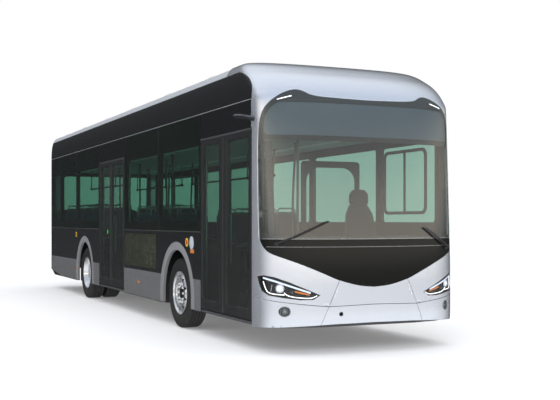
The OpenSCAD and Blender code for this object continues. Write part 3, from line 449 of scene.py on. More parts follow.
# the section of the long body as one line: u runs from the skirt up the side to the crown
_cz = [0.25, 2.84] + [z for x, z in SEC[1:]]
_cx = [1.275, 1.275] + [x for x, z in SEC[1:]]
_secx = []; _secz = []
for z in np.linspace(0.25, 2.84, 40): _secx.append(1.275); _secz.append(z)
_t = np.linspace(0, 1, 400)
_zz = np.concatenate([np.linspace(2.841, 3.33, 200), 3.33 + (TOP - 0.0001 - 3.33) * (1 - (1 - np.linspace(0.005, 1, 220)) ** 2)])
for z in _zz: _secx.append(float(WZs(z))); _secz.append(float(z))
_secx.append(0.0); _secz.append(TOP)
_secx = np.array(_secx); _secz = np.array(_secz)
_secu = np.concatenate([[0], np.cumsum(np.hypot(np.diff(_secx), np.diff(_secz)))])
def u_of_z(z): return np.interp(z, _secz, _secu)
UC = _secu[-1]
U0 = 0.25

class Side:
    """Side, cove and roof edge on side k: domain (s, u)."""
    def __init__(self, k): self.k = k
    def P(self, s, u):
        return np.stack([self.k * np.interp(u, _secu, _secx), np.asarray(s, float) - HALF, np.interp(u, _secu, _secz)], -1)
    def N(self, s, u):
        h = 0.004
        u = np.asarray(u, float)
        dx = np.interp(u + h, _secu, _secx) - np.interp(u - h, _secu, _secx); dz = np.interp(u + h, _secu, _secz) - np.interp(u - h, _secu, _secz)
        n = np.stack([self.k * dz, np.zeros_like(u), -dx], -1)
        return n / np.linalg.norm(n, axis=-1, keepdims=True)
    def of(self, pts): return [(s, float(u_of_z(z))) for s, z in pts]

class Roof:
    """Roof across the whole width: domain (s, c), c from the kerb side eave over the crown."""
    def P(self, s, c):
        c = np.asarray(c, float); u = UC - np.abs(c)
        return np.stack([np.sign(c) * np.interp(u, _secu, _secx), np.asarray(s, float) - HALF, np.interp(u, _secu, _secz)], -1)
    def N(self, s, c):
        h = 0.004
        p1 = self.P(s, np.asarray(c) + h); p0 = self.P(s, np.asarray(c) - h)
        d = p1 - p0
        n = np.stack([-d[..., 2], np.zeros(d.shape[:-1]), d[..., 0]], -1)
        return n / np.linalg.norm(n, axis=-1, keepdims=True)

class Flat:
    """A plane: domain (a, b) at origin o with directions."""
    def __init__(self, o, da, db, n): self.o, self.da, self.db, self.n = map(np.array, (o, da, db, n))
    def P(self, a, b): return self.o + np.asarray(a)[..., None] * self.da + np.asarray(b)[..., None] * self.db
    def N(self, a, b): return np.broadcast_to(self.n.astype(float), np.asarray(a).shape + (3,))

RR = 0.112
class Rear:
    """Rounded rear edge: c runs up the kerb side, over the roof and down the road side; t from 0 to 1 round the edge."""
    def _sec(self, c):
        u = UC - np.abs(c)
        k = np.sign(c)
        x = np.interp(u, _secu, _secx); z = np.interp(u, _secu, _secz)
        h = 0.004
        dx = np.interp(u + h, _secu, _secx) - np.interp(u - h, _secu, _secx); dz = np.interp(u + h, _secu, _secz) - np.interp(u - h, _secu, _secz)
        l = np.hypot(dx, dz); l = np.maximum(l, 1e-9)
        nx, nz = dz / l, -dx / l
        nx = np.where(np.abs(c) < 0.004, 0, nx); nz = np.where(np.abs(c) < 0.004, 1, nz)
        return k * x, z, k * nx, nz
    def P(self, c, t):
        c = np.asarray(c, float); t = np.asarray(t, float)
        x, z, nx, nz = self._sec(c)
        th = np.clip(t / (RR * math.pi / 2), 0, 1) * math.pi / 2
        i = RR * (1 - np.cos(th)); s = LEN - RR + RR * np.sin(th) - 0.001
        return np.stack([x - nx * i, s - HALF, z - nz * i], -1)
    def N(self, c, t):
        x, z, nx, nz = self._sec(np.asarray(c, float))
        th = np.clip(np.asarray(t, float) / (RR * math.pi / 2), 0, 1) * math.pi / 2
        return np.stack([nx * np.cos(th), np.sin(th), nz * np.cos(th)], -1)

def resample(loop, h):
    out = []
    n = len(loop)
    for i in range(n):
        a = np.array(loop[i]); b = np.array(loop[(i + 1) % n])
        l = np.linalg.norm(b - a)
        if l < 1e-7: continue
        k = max(1, int(math.ceil(l / h)))
        for j in range(k): out.append(tuple(a + (b - a) * j / k))
    return out

def inside(pts, loop):
    P = np.asarray(pts, float); L = np.asarray(loop, float); c = np.zeros(len(P), bool)
    x1, y1 = L[:, 0], L[:, 1]; x2, y2 = np.roll(x1, -1), np.roll(y1, -1)
    for a, b, d, e in zip(x1, y1, x2, y2):
        if b == e: continue
        m = ((b > P[:, 1]) != (e > P[:, 1])) & (P[:, 0] < (d - a) * (P[:, 1] - b) / (e - b) + a)
        c ^= m
    return c

def area(loop):
    L = np.asarray(loop); x, y = L[:, 0], L[:, 1]
    return 0.5 * float(np.sum(x * np.roll(y, -1) - np.roll(x, -1) * y))

def inset(loop, d):
    """Loop moved inward by d (mitred)."""
    L = [np.array(p, float) for p in loop]
    if area(loop) < 0: d = -d
    out = []; n = len(L)
    for i in range(n):
        a = L[i] - L[i - 1]; b = L[(i + 1) % n] - L[i]
        la, lb = np.linalg.norm(a), np.linalg.norm(b)
        if la < 1e-9 or lb < 1e-9: out.append(tuple(L[i])); continue
        a /= la; b /= lb
        na = np.array((-a[1], a[0])); nb = np.array((-b[1], b[0]))
        m = na + nb; l = np.dot(m, m)
        if l < 0.3: m = na; l = 1.0
        else: m = m * (2 / l); l = 1.0
        out.append(tuple(L[i] + m * d * 1.0))
    return out

def patch(surf, outline, t, h=0.03, holes=(), off=0.0, edge=0.0015, hb=None, out=None, mi=0):
    """A thick curved panel: outline and holes in the surface's own domain, t thick inwards, pushed out by off."""
    hb = hb or h
    loops = [resample(l, hb) for l in [outline] + list(holes)]
    loops = [l if (area(l) > 0) == (i == 0) else l[::-1] for i, l in enumerate(loops)]
    pts = []; edges = []
    for l in loops:
        o = len(pts); pts += l
        edges += [(o + i, o + (i + 1) % len(l)) for i in range(len(l))]
    nb = len(pts)
    L0 = np.array(loops[0])
    lo, hi = L0.min(0), L0.max(0)
    if h < 5 and (hi - lo).max() > h:
        gx = np.arange(lo[0] + h / 2, hi[0], h); gy = np.arange(lo[1] + h / 2, hi[1], h * 0.87)
        G = np.array([(x + (h / 2 if j % 2 else 0), y) for j, y in enumerate(gy) for x in gx])
        if len(G):
            keep = inside(G, loops[0])
            for l in loops[1:]: keep &= ~inside(G, l)
            G = G[keep]
            if len(G):
                B = np.array(pts); d = np.full(len(G), 9.0)
                for i in range(0, len(B), 400): d = np.minimum(d, np.sqrt(((G[:, None] - B[None, i:i + 400]) ** 2).sum(-1)).min(1))
                G = G[d > 0.5 * h]
                pts += [tuple(g) for g in G]
    r = geometry.delaunay_2d_cdt([Vector(p) for p in pts], edges, [], 0, 1e-7)
    V2 = np.array([tuple(v) for v in r[0]]); F = [tuple(f) for f in r[2]]
    C = np.array([V2[list(f)].mean(0) for f in F])
    keep = inside(C, loops[0])
    for l in loops[1:]: keep &= ~inside(C, l)
    F = [f for f, k in zip(F, keep) if k]
    # orientation: the domain's right-hand normal may point in or out
    P = surf.P(V2[:, 0], V2[:, 1]); N = surf.N(V2[:, 0], V2[:, 1])
    f0 = F[len(F) // 2]
    g = np.cross(P[f0[1]] - P[f0[0]], P[f0[2]] - P[f0[0]])
    flip = np.dot(g, N[f0[0]]) < 0
    if flip: F = [f[::-1] for f in F]
    n = len(V2)
    cnt = {}
    for f in F:
        for i in range(len(f)):
            e = (f[i], f[(i + 1) % len(f)]); cnt[e] = cnt.get(e, 0) + 1
    bd = [e for e in cnt if (e[1], e[0]) not in cnt]
    nxt = {a: b for a, b in bd}; prv = {b: a for a, b in bd}
    O = P + N * off
    patch.count = len(F)
    verts = [tuple(p) for p in O] + [tuple(p) for p in (P + N * (off - t))]
    faces = list(F) + [tuple(i + n for i in f[::-1]) for f in F]
    sharp = []
    if edge > 0 and t > edge * 1.5:
        ring = {}
        for v in nxt:
            if v not in prv: continue
            tg = P[nxt[v]] - P[prv[v]]
            o = np.cross(tg, N[v]); l = np.linalg.norm(o)
            o = o / l if l > 1e-12 else o
            ring[v] = len(verts)
            verts.append(tuple(O[v] + o * edge - N[v] * edge))
            verts.append(tuple(P[v] + N[v] * (off - t) + o * edge))
        for a, b in bd:
            if a in ring and b in ring:
                ra, rb = ring[a], ring[b]
                faces.append((b, a, ra, rb)); faces.append((rb, ra, ra + 1, rb + 1)); faces.append((rb + 1, ra + 1, a + n, b + n))
                sharp += [(a, b), (ra + 1, rb + 1), (ra, rb), (a + n, b + n)]
    else:
        for a, b in bd:
            faces.append((b, a, a + n, b + n)); sharp += [(a, b), (a + n, b + n)]
    used = sorted(set(i for f in faces for i in f)); re = {o: i for i, o in enumerate(used)}
    verts = [verts[i] for i in used]; faces = [tuple(re[i] for i in f) for f in faces]; sharp = [(re[a], re[b]) for a, b in sharp]
    if out is None: out = Mesh()
    out.add(verts, faces, mi, sharp)
    return out

def rrect(a0, b0, a1, b1, r=0.02, n=5):
    r = min(r, (a1 - a0) / 2.001, (b1 - b0) / 2.001)
    out = []
    for cx, cy, t0 in ((a1 - r, b1 - r, 0), (a0 + r, b1 - r, 90), (a0 + r, b0 + r, 180), (a1 - r, b0 + r, 270)):
        for i in range(n + 1):
            t = math.radians(t0 + 90 * i / n)
            out.append((cx + r * math.cos(t), cy + r * math.sin(t)))
    return out

def circ(cx, cy, r, n=32, ry=None):
    return [(cx + r * math.cos(2 * math.pi * i / n), cy + (ry or r) * math.sin(2 * math.pi * i / n)) for i in range(n)]

def arc(cx, cy, r, a0, a1, n=20):
    return [(cx + r * math.cos(math.radians(a0 + (a1 - a0) * i / n)), cy + r * math.sin(math.radians(a0 + (a1 - a0) * i / n))) for i in range(n + 1)]

class SideFlat:
    """Plane of a side skin: domain (s, z)."""
    def __init__(self, k, x): self.k = k; self.x = x
    def P(self, s, z):
        s = np.asarray(s, float)
        return np.stack([np.full(s.shape, self.k * self.x), s - HALF, np.asarray(z, float)], -1)
    def N(self, s, z):
        s = np.asarray(s, float)
        return np.stack([np.full(s.shape, float(self.k)), np.zeros(s.shape), np.zeros(s.shape)], -1)

class EndFlat:
    """Plane across the bus: domain (x, z), facing back (d = 1) or forward (d = -1)."""
    def __init__(self, s, d=1): self.s = s; self.d = d
    def P(self, x, z):
        x = np.asarray(x, float)
        return np.stack([x, np.full(x.shape, self.s - HALF), np.asarray(z, float)], -1)
    def N(self, x, z):
        x = np.asarray(x, float)
        return np.stack([np.zeros(x.shape), np.full(x.shape, float(self.d)), np.zeros(x.shape)], -1)

class PlanFlat:
    """Level plane: domain (x, s), facing up."""
    def __init__(self, z, d=1): self.z = z; self.d = d
    def P(self, x, s):
        x = np.asarray(x, float)
        return np.stack([x, np.asarray(s, float) - HALF, np.full(x.shape, self.z)], -1)
    def N(self, x, s):
        x = np.asarray(x, float)
        return np.stack([np.zeros(x.shape), np.zeros(x.shape), np.full(x.shape, float(self.d))], -1)

nose = Nose()
BIG = 50.0
def flat(surf, outline, t, **kw):
    kw.setdefault("h", BIG); kw.setdefault("hb", BIG)
    return patch(surf, outline, t, **kw)

def round_loop(loop, r, n=4):
    """Corners of a closed loop rounded."""
    P = [np.array(p, float) for p in loop]; out = []; m = len(P)
    for i in range(m):
        a = P[i - 1] - P[i]; b = P[(i + 1) % m] - P[i]
        la, lb = np.linalg.norm(a), np.linalg.norm(b)
        q = min(r, la * 0.45, lb * 0.45)
        A = P[i] + a / la * q; B = P[i] + b / lb * q
        for t in np.linspace(0, 1, n + 1): out.append(tuple((1 - t) ** 2 * A + 2 * t * (1 - t) * P[i] + t * t * B))
    return out

# ------------------------------------------------------------------ front
MASK = mm([(0, 731), (200, 750), (442, 812), (620, 885), (860, 985), (1050, 1058), (1140, 1095), (1190, 1125), (1225, 1170), (1246, 1230), (1255, 1310), (1257, 1600), (1257, 2100), (1254, 2400), (1246, 2550), (1230, 2650), (1200, 2730), (1150, 2795), (1090, 2845), (1030, 2885), (960, 2917), (895, 2938), (833, 2945), (775, 2934), (730, 2913), (690, 2893), (620, 2878), (520, 2869), (350, 2862), (150, 2857), (0, 2855)])
SEAM = mm([(0, 538), (574, 526), (880, 556), (1100, 585), (1262, 612)])
CHIN = mm([(0, 335), (500, 330), (900, 314), (1262, 297)])
HEAD = mm([(661, 654), (745, 604), (890, 602), (1070, 626), (1195, 651), (1244, 700), (1258, 780), (1266, 862), (1228, 876), (1141, 857), (1006, 804), (834, 729)])
COVE = mm([(545, 2844), (548, 2900), (562, 2960), (600, 3020), (675, 3085), (765, 3135), (875, 3175), (1000, 3206)])
def spline(pts, n=4):
    """Smooth open curve through points (Catmull-Rom, chordal steps)."""
    P = [np.array(p, float) for p in pts]; P = [2 * P[0] - P[1]] + P + [2 * P[-1] - P[-2]]
    out = []
    for i in range(1, len(P) - 2):
        for j in range(n):
            t = j / n
            out.append(tuple(0.5 * (2 * P[i] + (P[i + 1] - P[i - 1]) * t + (2 * P[i - 1] - 5 * P[i] + 4 * P[i + 1] - P[i + 2]) * t * t + (3 * P[i] - P[i - 1] - 3 * P[i + 1] + P[i + 2]) * t ** 3)))
    out.append(tuple(P[-2])); return out
MASKS = spline(MASK, 3)
def mirrored(p): return list(p) + [(-x, z) for x, z in reversed(p) if x > 1e-6]
def grow(loop, d): return inset(loop, -d)
mask_loop = mirrored(MASKS)
def seam_z(x): return float(np.interp(abs(x), [p[0] for p in SEAM], [p[1] for p in SEAM]))
def chin_z(x): return float(np.interp(abs(x), [p[0] for p in CHIN], [p[1] for p in CHIN]))
def diag_x(z): return 0.442 + (0.812 - z) / 0.470 * 0.208
def mask_z_low(x): return float(np.interp(abs(x), [p[0] for p in MASKS[:30]], [p[1] for p in MASKS[:30]]))
xs_ = lambda a, b, n: list(np.linspace(a, b, n))

# fascia: from the diagonal seam out to the side, up the pillar, over the roof edge and down the other side
def half_outer():
    lo = [(x, seam_z(x) + 0.004) for x in xs_(diag_x(0.53) + 0.004, 1.262, 12)]
    q = nose.xz(lo)
    q += nose.sz(1, [(0.536, 0.6225), (0.536, 2.523), (0.557, 2.526), (0.557, 2.838), (0.541, 2.8425)])
    q += nose.sz(1, [(s - 0.004, z) for s, z in spline(COVE, 3)[1:]])
    q += nose.sz(1, [(1.05, 3.2095), (1.25, 3.2095)])
    q += nose.sz(1, [(1.420, z) for z in [3.2095] + [3.21 + (z - 3.21) * 180 / 130 for z in (3.225, 3.24, 3.255, 3.27, 3.285, 3.297, 3.307, 3.315, 3.322, 3.328, 3.3325, 3.336, 3.3383)]])
    return q
outer = half_outer()
inner_half = [p for p in inset(mask_loop, -0.0) if p[0] >= 0]
inner_half = [p for p in MASKS if not (p[0] < diag_x(0.812) - 0.001 and p[1] < 1.0)]
iq = nose.xz([(diag_x(0.812) + 0.004, mask_z_low(diag_x(0.812)) )] + inner_half[1:])
right = outer; left = [(-q, v) for q, v in outer]
loop = right + left[::-1] + [(-q, v) for q, v in iq] + iq[::-1]
# the inner edge goes from the kerb side diagonal up, over the top and down to the road side diagonal
head_q = nose.xz(round_loop(HEAD, 0.007, 4))
head_qm = [(-q, v) for q, v in head_q]
m = patch(nose, loop, 0.026, h=0.026, hb=0.02, holes=[head_q, head_qm], edge=0.003)
apron = nose.xz([(x, mask_z_low(x)) for x in xs_(-diag_x(0.812) + 0.0035, diag_x(0.812) - 0.0035, 25)] + [(diag_x(0.53) - 0.0035, seam_z(0.567) + 0.004)] + [(x, seam_z(x) + 0.004) for x in xs_(0.5, -0.5, 11)] + [(-diag_x(0.53) + 0.0035, seam_z(0.567) + 0.004)])
patch(nose, apron, 0.026, h=0.03, hb=0.02, edge=0.003, out=m)
m.to("front_fascia_skin", "silver", slot="body_silver", rep=("front_fascia",))

m = Mesh()
bc = nose.xz([(x, seam_z(x) - 0.004) for x in xs_(-0.566, 0.566, 13)] + [(x, chin_z(x)) for x in xs_(diag_x(0.326) - 0.0035, -diag_x(0.326) + 0.0035, 21)])
patch(nose, bc, 0.03, h=0.03, hb=0.02, edge=0.003, holes=[nose.xz(circ(-0.420, 0.440, 0.027, 20))], out=m)
for k in (1, -1):
    bo = nose.xz([(x, chin_z(x)) for x in xs_(diag_x(0.326) + 0.0035, 1.262, 10)]) + nose.sz(1, [(0.536, 0.297), (0.536, 0.6165)]) + nose.xz([(x, seam_z(x) - 0.004) for x in xs_(1.262, diag_x(0.53) + 0.0055, 12)])
    fo = nose.xz(circ(1.048, 0.478, 0.060, 32, 0.058))
    if k < 0: bo = [(-q, v) for q, v in bo]; fo = [(-q, v) for q, v in fo]
    holes = [fo]
    patch(nose, bo, 0.03, h=0.028, hb=0.018, holes=holes, edge=0.003, out=m)
m.to("front_bumper_skin", "silver", slot="body_silver", rep=("front_bumper",))

def ring_tube(pts, r, off, n=8, closed=False):
    """Round bead along front-view points at a depth off from the skin."""
    qv = nose.xz(pts); q = np.array([a for a, b in qv]); v = np.array([b for a, b in qv])
    P = nose.P(q, v) + nose.N(q, v) * off
    return tube(list(P), r, n, closed=closed)
def on_nose(x, z, off=0.0):
    (q, v), = nose.xz([(x, z)])
    P = nose.P(np.array([q]), np.array([v]))[0]; N = nose.N(np.array([q]), np.array([v]))[0]
    return P + N * off, N

# glass sheet over the mask down to the upper bright line, a black panel below it, the glass's black backing and what
# lies behind
mg = inset(mask_loop, 0.004)
def clip_z(loop, z0, keep_above):
    """Part of a closed front-view loop above or below a height."""
    out = []; sg = 1 if keep_above else -1
    for (x0, a), (x1, b) in zip(loop, list(loop[1:]) + [loop[0]]):
        if sg * (a - z0) >= 0: out.append((x0, a))
        if (a - z0) * (b - z0) < 0:
            t = (z0 - a) / (b - a); out.append((x0 + (x1 - x0) * t, z0))
    return out
def to_glass(mesh, name, front, slot, body="body", rep=()):
    """The outer faces take the reflecting tinted pane, the others the clear one."""
    ob = mesh.to(name, [front, "pane_inner"], body, slot, rep=rep)
    return ob
def sheet_mat(name, tint, f0=0.04, haze_and_painted_reflection=0.0, haze_and_reflection_color=(0.4, 0.42, 0.45), rough=0.012, wave=0.0):
    m, nt, out = new_mat(name)
    tr = add(nt, "ShaderNodeBsdfTransparent")
    tc = add(nt, "ShaderNodeTexCoord")
    n = noise(nt, tc.outputs["Object"], 0.9, 3)
    lo = tuple(c * 0.95 for c in tint); hi = tuple(min(1, c * 1.05) for c in tint)
    nt.links.new(mix_rgb(nt, n, lo, hi), tr.inputs[0])
    base = tr.outputs[0]
    # diffuse veil over the pane: haze, and on the windscreen a painted reflection that brightens the glass
    if haze_and_painted_reflection > 0:
        df = add(nt, "ShaderNodeBsdfDiffuse"); df.inputs[0].default_value = (*haze_and_reflection_color, 1)
        mx = add(nt, "ShaderNodeMixShader")
        nt.links.new(map_range(nt, noise(nt, tc.outputs["Object"], 2.0, 5), 0.3, 0.7, haze_and_painted_reflection * 0.85, haze_and_painted_reflection * 1.15), mx.inputs[0])
        nt.links.new(base, mx.inputs[1]); nt.links.new(df.outputs[0], mx.inputs[2])
        base = mx.outputs[0]
    gl = add(nt, "ShaderNodeBsdfGlossy")
    gl.inputs["Roughness"].default_value = rough
    if wave > 0:
        bp = add(nt, "ShaderNodeBump"); bp.inputs["Distance"].default_value = wave
        nt.links.new(noise(nt, tc.outputs["Object"], 1.1, 1), bp.inputs["Height"]); nt.links.new(bp.outputs[0], gl.inputs["Normal"])
    lw = add(nt, "ShaderNodeLayerWeight"); lw.inputs[0].default_value = 0.5
    pw = add(nt, "ShaderNodeMath", operation="POWER"); pw.inputs[1].default_value = 5.0
    nt.links.new(lw.outputs["Facing"], pw.inputs[0])
    fr = map_range(nt, pw.outputs[0], 0.0, 1.0, f0, 0.96)
    mx = add(nt, "ShaderNodeMixShader")
    nt.links.new(fr, mx.inputs[0]); nt.links.new(base, mx.inputs[1]); nt.links.new(gl.outputs[0], mx.inputs[2])
    nt.links.new(mx.outputs[0], out.inputs[0])
    return m
M["glass_side"] = sheet_mat("glass_side_green", (0.27, 0.50, 0.41), f0=0.045, haze_and_painted_reflection=0.035, haze_and_reflection_color=(0.26, 0.29, 0.27))
M["glass_door"] = sheet_mat("glass_door_green", (0.245, 0.42, 0.345), f0=0.045, haze_and_painted_reflection=0.075, haze_and_reflection_color=(0.28, 0.31, 0.29))
M["glass_low"] = sheet_mat("glass_low_tint", (0.50, 0.53, 0.38), haze_and_painted_reflection=0.13, haze_and_reflection_color=(0.30, 0.34, 0.24))
# the windscreen's beige veil is a painted reflection, lifting the glass as a reflection would
M["glass_front"] = sheet_mat("glass_front_clear", (0.72, 0.80, 0.77), f0=0.08, haze_and_painted_reflection=0.065, haze_and_reflection_color=(0.47, 0.46, 0.42))
M["lens"] = sheet_mat("lamp_lens_clear", (0.96, 0.97, 0.98), f0=0.05)
def inner_mat():
    m, nt, out = new_mat("pane_inner")
    tr = add(nt, "ShaderNodeBsdfTransparent")
    tc = add(nt, "ShaderNodeTexCoord")
    nt.links.new(mix_rgb(nt, noise(nt, tc.outputs["Object"], 2.0, 2), (0.985, 0.99, 0.988), (1, 1, 1)), tr.inputs[0])
    nt.links.new(tr.outputs[0], out.inputs[0])
    return m
M["pane_inner"] = inner_mat()

def pane(surf, outline, t=0.006, off=0.0, h=BIG, hb=BIG, holes=(), out=None):
    out = out or Mesh()
    k0 = len(out.f)
    patch(surf, outline, t, h=h, hb=hb, off=off, holes=holes, edge=0.0, out=out)
    # faces of the outer skin come first, then as many inner ones, then the rim
    nf = patch.count
    for i in range(k0, len(out.f)): out.m[i] = 0 if i - k0 < nf else 1
    return out

g = pane(nose, nose.xz(clip_z(mg, 1.2685, True)), t=0.006, h=0.05, hb=0.03)
g.to("windscreen_pane", ["glass_front", "pane_inner"], slot="glass_front", rep=("windscreen",))
m = Mesh()
patch(nose, nose.xz(clip_z(mg, 1.2635, False)), 0.006, h=0.05, hb=0.03, edge=0.001, out=m)
m.to("front_mask_lower_panel", "mask_black", slot="body_dark")
# clear opening under the display: up to the header strip
clear = spline(mm([(0, 1300), (700, 1300), (1130, 1300), (1190, 1320), (1222, 1380), (1232, 1500), (1233, 2000), (1231, 2250), (1226, 2330), (1195, 2362), (1100, 2364), (500, 2366), (0, 2366)]), 3)
clear_loop = mirrored(clear)
disp = spline(mm([(0, 2424), (700, 2424), (1110, 2423), (1190, 2434), (1212, 2480), (1208, 2560), (1188, 2650), (1155, 2710), (1095, 2765), (1010, 2792), (700, 2795), (0, 2797)]), 3)
disp_loop = mirrored(disp)
m = Mesh()
patch(nose, nose.xz(inset(mask_loop, 0.006)), 0.004, h=0.05, hb=0.03, holes=[nose.xz(clear_loop), nose.xz(disp_loop)], off=-0.0068, edge=0.0, out=m)
m.to("windscreen_border", "frit", slot="body_dark")
m = Mesh()
patch(nose, nose.xz(grow(disp_loop, 0.012)), 0.02, h=0.06, hb=0.04, off=-0.016, edge=0.002, out=m)
m.to("destination_display", "blind", slot="trim_black")
# pillars behind the corners of the screen
m = Mesh()
for k in (1, -1):
    strip = mm([(1150, 1302), (1150, 1700), (1152, 2100), (1155, 2362), (1205, 2362), (1203, 2100), (1200, 1700), (1196, 1302)])
    patch(nose, nose.xz([(k * x, z) for x, z in strip]), 0.05, h=0.06, hb=0.04, off=-0.035, edge=0.004, out=m)
m.to("screen_pillars", "trim", slot="trim_black")
# two bright lines across the lower mask, and the marker bars in its upper corners
m = Mesh()
for z0, hgt, xe in ((1.270, 0.005, 1.232), (1.182, 0.0035, 1.205)):
    xs = xs_(-xe, xe, 61)
    zz = lambda x: z0 + 0.004 * (x / xe) ** 2
    patch(nose, nose.xz([(x, zz(x) - hgt / 2) for x in xs] + [(x, zz(x) + hgt / 2) for x in reversed(xs)]), 0.0014, h=BIG, hb=0.06, off=0.0012, edge=0.0, out=m)
m.to("front_trim_lines", "line", slot="rim_chrome")
m = Mesh()
for k in (1, -1):
    c = [(0.905, 2.858), (0.908, 2.866), (1.067, 2.822), (1.070, 2.814)]
    patch(nose, nose.xz([(k * x, z) for x, z in round_loop(c, 0.003, 3)]), 0.003, h=BIG, hb=0.03, off=0.0005, edge=0.0, out=m)
m.to("front_marker_lamps", "white_lamp", slot="lamp_clear")

# dark tubes behind the seams of the front skin: painted shade in the gaps
m = Mesh()
v, f = ring_tube([(x, seam_z(x)) for x in xs_(-1.262, 1.262, 61)], 0.0055, -0.0060, 8); m.add(v, f)
for k in (1, -1):
    v, f = ring_tube([(k * diag_x(z), z) for z in xs_(0.800, 0.332, 14)], 0.0055, -0.0060, 8); m.add(v, f)
m.to("front_seam_shade_backing", "rubber", slot="trim_black")

# headlights: bowl, rim, light line, lens units, amber bar and cover
bowl, rim, drl, chrome, proj, amber, cover, dark, strip, fog = [Mesh() for _ in range(10)]
H = round_loop(HEAD, 0.006, 4)
for k in (1, -1):
    hk = [(k * x, z) for x, z in H]
    patch(nose, nose.xz(inset(hk, 0.001)), 0.008, h=0.03, hb=0.02, off=-0.062, edge=0.0, out=bowl)
    patch(nose, nose.xz(inset(hk, 0.0015)), 0.058, h=0.05, hb=0.015, holes=[nose.xz(inset(hk, 0.0085))], off=-0.0035, edge=0.0015, out=rim)
    k0 = len(cover.f)
    patch(nose, nose.xz(inset(hk, 0.0018)), 0.003, h=0.04, hb=0.02, off=-0.0006, edge=0.0, out=cover)
    for i in range(k0, len(cover.f)): cover.m[i] = 0 if i - k0 < patch.count else 1
    # white light lines: down the outer edge and along the bottom, then a second one up to the tip
    for path in ([(1.236, 0.806), (1.222, 0.738), (1.203, 0.690), (1.165, 0.672), (1.105, 0.664), (1.050, 0.660)], [(1.056, 0.684), (1.020, 0.654), (0.960, 0.637), (0.893, 0.628), (0.815, 0.622), (0.762, 0.625), (0.728, 0.636), (0.700, 0.650)]):
        v, f = ring_tube([(k * x, z) for x, z in spline(path, 4)], 0.0052, -0.016, 8); drl.add(v, f)
    # bright strip under the louvred upper edge
    up_edge = [(1.236, 0.846), (1.147, 0.812), (1.007, 0.760), (0.864, 0.710), (0.775, 0.680)]
    band_ = [(x, z - 0.009) for x, z in up_edge] + [(x, z + 0.009) for x, z in reversed(up_edge)]
    patch(nose, nose.xz([(k * x, z) for x, z in band_]), 0.006, h=BIG, hb=0.02, off=-0.010, edge=0.0015, out=strip)
    lou = [(1.248, 0.858), (1.147, 0.824), (1.007, 0.772), (0.864, 0.721), (0.800, 0.700)]
    lou_t = [(1.250, 0.866), (1.226, 0.867), (1.141, 0.848), (1.006, 0.795), (0.850, 0.727)]
    patch(nose, nose.xz([(k * x, z) for x, z in lou + lou_t[::-1]]), 0.006, h=BIG, hb=0.02, off=-0.012, edge=0.001, out=dark)
    for j in range(34):
        x = 0.865 + j * 0.0110
        za = float(np.interp(x, [p[0] for p in lou[::-1]], [p[1] for p in lou[::-1]])); zb = float(np.interp(x, [p[0] for p in lou_t[::-1]], [p[1] for p in lou_t[::-1]]))
        v, f = ring_tube([(k * (x + 0.004), za + 0.002), (k * (x - 0.004), zb - 0.002)], 0.0022, -0.0095, 6); rim.add(v, f)
    for (x, z, r, dp) in ((1.098, 0.730, 0.036, 0.030), (0.990, 0.694, 0.020, 0.030)):
        P, N = on_nose(k * x, z, -dp)
        # chrome ring with a clear bulging lens
        pr = [(0, -0.02), (r + 0.014, -0.02), (r + 0.014, 0.002), (r + 0.008, 0.004), (r, -0.003), (0, -0.005)]
        v, f = lathe(pr, P, N, 28); (chrome if r > 0.03 else dark).add(v, f)
        n = 6; pr = [(0, 0.0)] + [(r * math.cos(a), 0.001 + 0.5 * r * math.sin(a)) for a in np.linspace(0, math.pi / 2, n)[:-1]] + [(0, 0.001 + 0.5 * r)]
        v, f = lathe(pr, P, N, 28); (proj if r > 0.03 else dark).add(v, f)
    # small fins between the lens and the outer edge, and one beside the indicator
    for x, z0, z1, mm2 in ((1.188, 0.700, 0.790, dark), (1.172, 0.690, 0.776, chrome), (0.966, 0.668, 0.704, chrome)):
        v, f = ring_tube([(k * (x + 0.012 * (1 - t)), z0 + (z1 - z0) * t) for t in xs_(0, 1, 5)], 0.0042, -0.034, 6); mm2.add(v, f)
    patch(nose, nose.xz([(k * x, z) for x, z in [(0.944, 0.688), (0.944, 0.704), (0.864, 0.686), (0.786, 0.663), (0.782, 0.652), (0.864, 0.669)]]), 0.012, h=BIG, hb=0.02, off=-0.024, edge=0.002, out=amber)
    # fog lamp
    P, N = on_nose(k * 1.048, 0.478, -0.004)
    prf = [(0.056, 0.002), (0.0545, 0.0045), (0.047, 0.002), (0.043, -0.012), (0.043, -0.03), (0.056, -0.03)]
    v, f = revolve(prf, P, N, 36); fog.add(v, f)
    v, f = lathe([(0, -0.03), (0.043, -0.03), (0.040, -0.014), (0.026, -0.021), (0.0, -0.024)], P, N, 32); fog.add(v, f)
    k0 = len(cover.f)
    v, f = lathe([(0, -0.013), (0.043, -0.013), (0.039, -0.007), (0.023, -0.003), (0, -0.002)], P, N, 32); cover.add(v, f, 0)
    v, f = lathe([(0, -0.023), (0.017, -0.023), (0.016, -0.016), (0.0, -0.013)], P, N, 20); chrome.add(v, f)
fog.to("fog_lamp_bezels", mat("fog_lamp_grey", (0.20, 0.21, 0.225), rough=0.3, metal=0.6, var=0.05, rvar=0.04), slot="trim_black")
bowl.to("headlight_bowls", "lamp_dark", slot="trim_black")
rim.to("headlight_rims", "trim", slot="trim_black")
drl.to("headlight_light_lines", "drl", slot="lamp_clear")
strip.to("headlight_light_strips", "light_strip", slot="lamp_clear")
chrome.to("headlight_reflectors", "lamp_chrome", slot="rim_chrome")
proj.to("headlight_projectors", mat("projector_lens", (0.85, 0.90, 0.96), rough=0.08, coat=1.0, var=0.05, emit=(0.95, 0.98, 1.0), emit_strength=0.30), slot="lamp_clear")
amber.to("headlight_indicators", "amber", slot="lamp_clear")
dark.to("headlight_modules", "dark_screen", slot="trim_black")
cover.to("headlight_covers", ["lens", "pane_inner"], slot="lamp_clear", rep=("headlights",))

